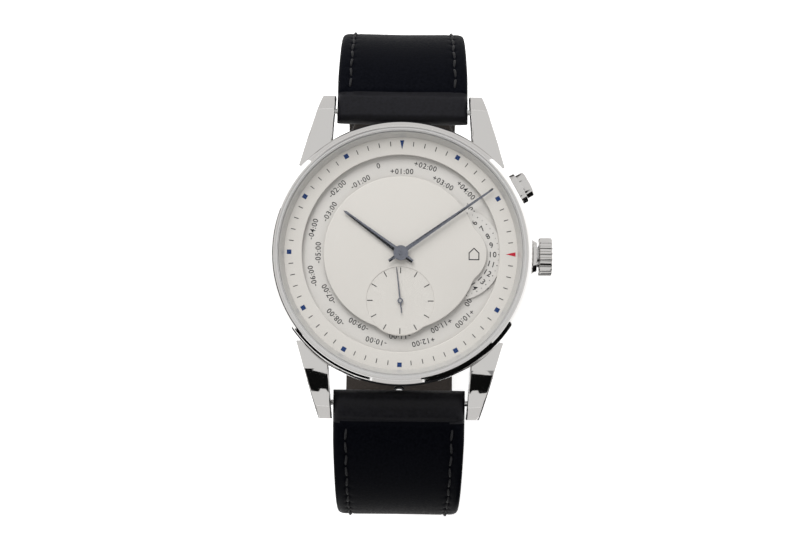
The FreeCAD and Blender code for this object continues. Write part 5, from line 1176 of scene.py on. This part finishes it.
# %% Camera
DISTANCE, SCALE, LEAN, ROLL = 350.0, 6.667, 85.5, 0.7
PICTURE_WIDTH, FILM_WIDTH = 800.0, 36.0
PICTURE_MIDDLE, DIAL_IN_PICTURE = (400.0, 266.5), (400.8, 253.1)
lean = math.radians(LEAN)
back_way = np.array([0.0, -math.cos(lean), math.sin(lean)])
level_right = np.array([1.0, 0.0, 0.0])
level_up = np.cross(back_way, level_right)
roll = math.radians(ROLL)
right = math.cos(roll) * level_right + math.sin(roll) * level_up
up = np.cross(back_way, right)
dial_middle = np.array([0.0, 0.0, lifted(DIAL_FACE)])
offset = ((DIAL_IN_PICTURE[0] - PICTURE_MIDDLE[0]) / SCALE,
          (PICTURE_MIDDLE[1] - DIAL_IN_PICTURE[1]) / SCALE)
place = dial_middle + DISTANCE * back_way - offset[0] * right - offset[1] * up
lens = bpy.data.cameras.new("product_camera")
lens.sensor_width = FILM_WIDTH
lens.lens = SCALE * DISTANCE * FILM_WIDTH / PICTURE_WIDTH
lens.clip_start, lens.clip_end = 0.01, 5.0
camera = bpy.data.objects.new("product_camera", lens)
bpy.context.scene.collection.objects.link(camera)
turn = Matrix(np.column_stack([right, up, back_way]).tolist())
camera.matrix_world = Matrix.Translation(Vector(place * MM)) @ turn.to_4x4()
bpy.context.scene.camera = camera
print("camera", [round(float(v), 1) for v in place], "mm, lens", round(lens.lens, 1), "mm")

# %% [markdown]
# The studio is a white tent. One large soft light stands beyond the twelve, which is why the
# upper edges of the dial throw a fine shade and the upper part of the flange is grey. Steel
# mirrors the tent brighter than the tent lights the dial, so the two are set apart.

# %% Tent, light and floor
world = bpy.data.worlds.new("white_tent")
bpy.context.scene.world = world
world.use_nodes = True
tent = world.node_tree
sky = tent.nodes["Background"]
sky.inputs["Color"].default_value = (1.0, 0.992, 0.98, 1)
ray = tent.nodes.new("ShaderNodeLightPath")
level = tent.nodes.new("ShaderNodeMapRange")
level.inputs["To Min"].default_value = 0.56
level.inputs["To Max"].default_value = 0.80
tent.links.new(ray.outputs["Is Glossy Ray"], level.inputs["Value"])
tent.links.new(level.outputs["Result"], sky.inputs["Strength"])
bpy.context.scene.view_settings.view_transform = "Standard"

key = bpy.data.lights.new("key_light", "AREA")
key.shape = "SQUARE"
key.size = 0.45
key.energy = 3.4
key_holder = bpy.data.objects.new("key_light", key)
key_holder.location = (-0.14, 0.45, 0.42)
key_holder.rotation_euler = (Vector((0, 0, 0.03)) - key_holder.location).to_track_quat("-Z", "Y").to_euler()
key_holder.visible_glossy = False
bpy.context.scene.collection.objects.link(key_holder)

floor_level = solid_low[2] - 0.0002
bpy.ops.mesh.primitive_grid_add(x_subdivisions=2, y_subdivisions=2, size=4.0, location=(0, 0, floor_level))
floor = bpy.context.active_object
floor.name = "pale_floor"
floor.data.materials.append(grained(None, "pale_floor", (0.9, 0.9, 0.9), 0.0, 0.7, 60, 0.0, (0.6, 0.8),
                                    Emission_Color=(1, 1, 1, 1), Emission_Strength=0.6))
print("tent, light and floor ready")

# %% [markdown]
# Polished steel would look flat in a white tent, so black cards lie and stand round the watch.
# They are seen only in reflections and throw no shadow. The flank of the bezel, seen from above,
# mirrors the floor, so its dark bands come from cards that lie there. The curved lugs mirror
# the front from high to low, and take their black patch from the tall card with the waved edge.
# Grey cards glow with their own light and do the same more gently, so that lug tips and the top of
# the bezel stay light grey.

# %% Black cards
dark = plain_finish("dark_card", (0.004, 0.004, 0.004), 0.0, 1.0, Specular_IOR_Level=0.0)
# Grey and dim cards glow: their emission stands in for light that a lit card would reflect.
grey, dim = (
    plain_finish(name, (0.0, 0.0, 0.0), 0.0, 1.0, Specular_IOR_Level=0.0, Emission_Color=(*glow, 1),
                 Emission_Strength=1.0)
    for name, glow in (("grey_card", (0.76, 0.75, 0.74)), ("dim_card", (0.3, 0.3, 0.3))))


def card_sheet(name, points, finish):
    """Staged sheet between two rows of points, seen only in reflections."""
    mesh = bpy.data.meshes.new(name)
    faces = grid_faces(2, len(points) // 2, close_columns=False).tolist()
    mesh.from_pydata(np.asarray(points, float).tolist(), [], faces)
    card = bpy.data.objects.new(name, mesh)
    card.data.materials.append(finish)
    bpy.context.scene.collection.objects.link(card)
    card.visible_camera = False
    card.visible_diffuse = False
    card.visible_shadow = False
    return card


def floor_card(name, start, end, near, far, finish=dark, above=0.001):
    """Part of a ring on the floor: between two directions in degrees and two distances."""
    way = np.radians(np.linspace(start, end, 24))
    rim = np.stack([np.cos(way), np.sin(way), 0 * way], 1)
    points = np.concatenate([near * rim, far * rim]) + (0, 0, floor_level + above)
    return card_sheet(name, points, finish)


def standing_card(name, place, wide, tall, rise=None, lean=None, finish=dark):
    """Card that faces the watch; its lower edge is raised by rise(x), its upper edge by lean(x)."""
    x = np.linspace(-wide / 2, wide / 2, 161)
    low = -tall / 2 + (rise(x) if rise else 0 * x)
    high = tall / 2 + (lean(x) if lean else 0 * x)
    facing = (Vector((0, 0, 0.03)) - Vector(place)).to_track_quat("-Z", "Y").to_matrix()
    flat = np.concatenate([np.stack([x, low, 0 * x], 1), np.stack([x, high, 0 * x], 1)])
    points = flat @ np.array(facing).T + place
    return card_sheet(name, points, finish)


def waved(x):
    """Rise of the lower edge: 45 mm in the middle, falling in an S beyond 16 to 34 mm."""
    share = np.clip((0.034 - np.abs(x)) / 0.018, 0, 1)
    return 0.045 * share * share * (3 - 2 * share)


standing_card("front_card", (0.0, -0.29, 0.305), 0.56, 0.25, waved, lambda x: -0.35 * x)
standing_card("low_right_card", (0.24, -0.42, 0.05), 0.34, 0.15)
standing_card("low_left_card", (-0.42, -0.05, -0.005), 0.5, 0.07)
standing_card("high_left_card", (-0.16, -0.22, 0.535), 0.2, 0.13)
standing_card("high_right_card", (0.14, -0.24, 0.56), 0.12, 0.22, finish=dim)
standing_card("button_card", (-0.20, 0.34, 0.36), 0.16, 0.10, finish=dim)
floor_card("floor_card_right", -78, -28, 0.064, 0.60)
floor_card("floor_card_left_near", -149, -112, 0.058, 0.10)
floor_card("floor_card_left_far", -147, -104, 0.125, 0.6)
floor_card("floor_card_beyond", 50, 132, 0.03, 1.5, grey, 0.0005)
floor_card("floor_card_front", -103, -79, 0.03, 1.5, grey, 0.0005)
print("studio ready, floor at", round(floor_level * 1000, 1), "mm")
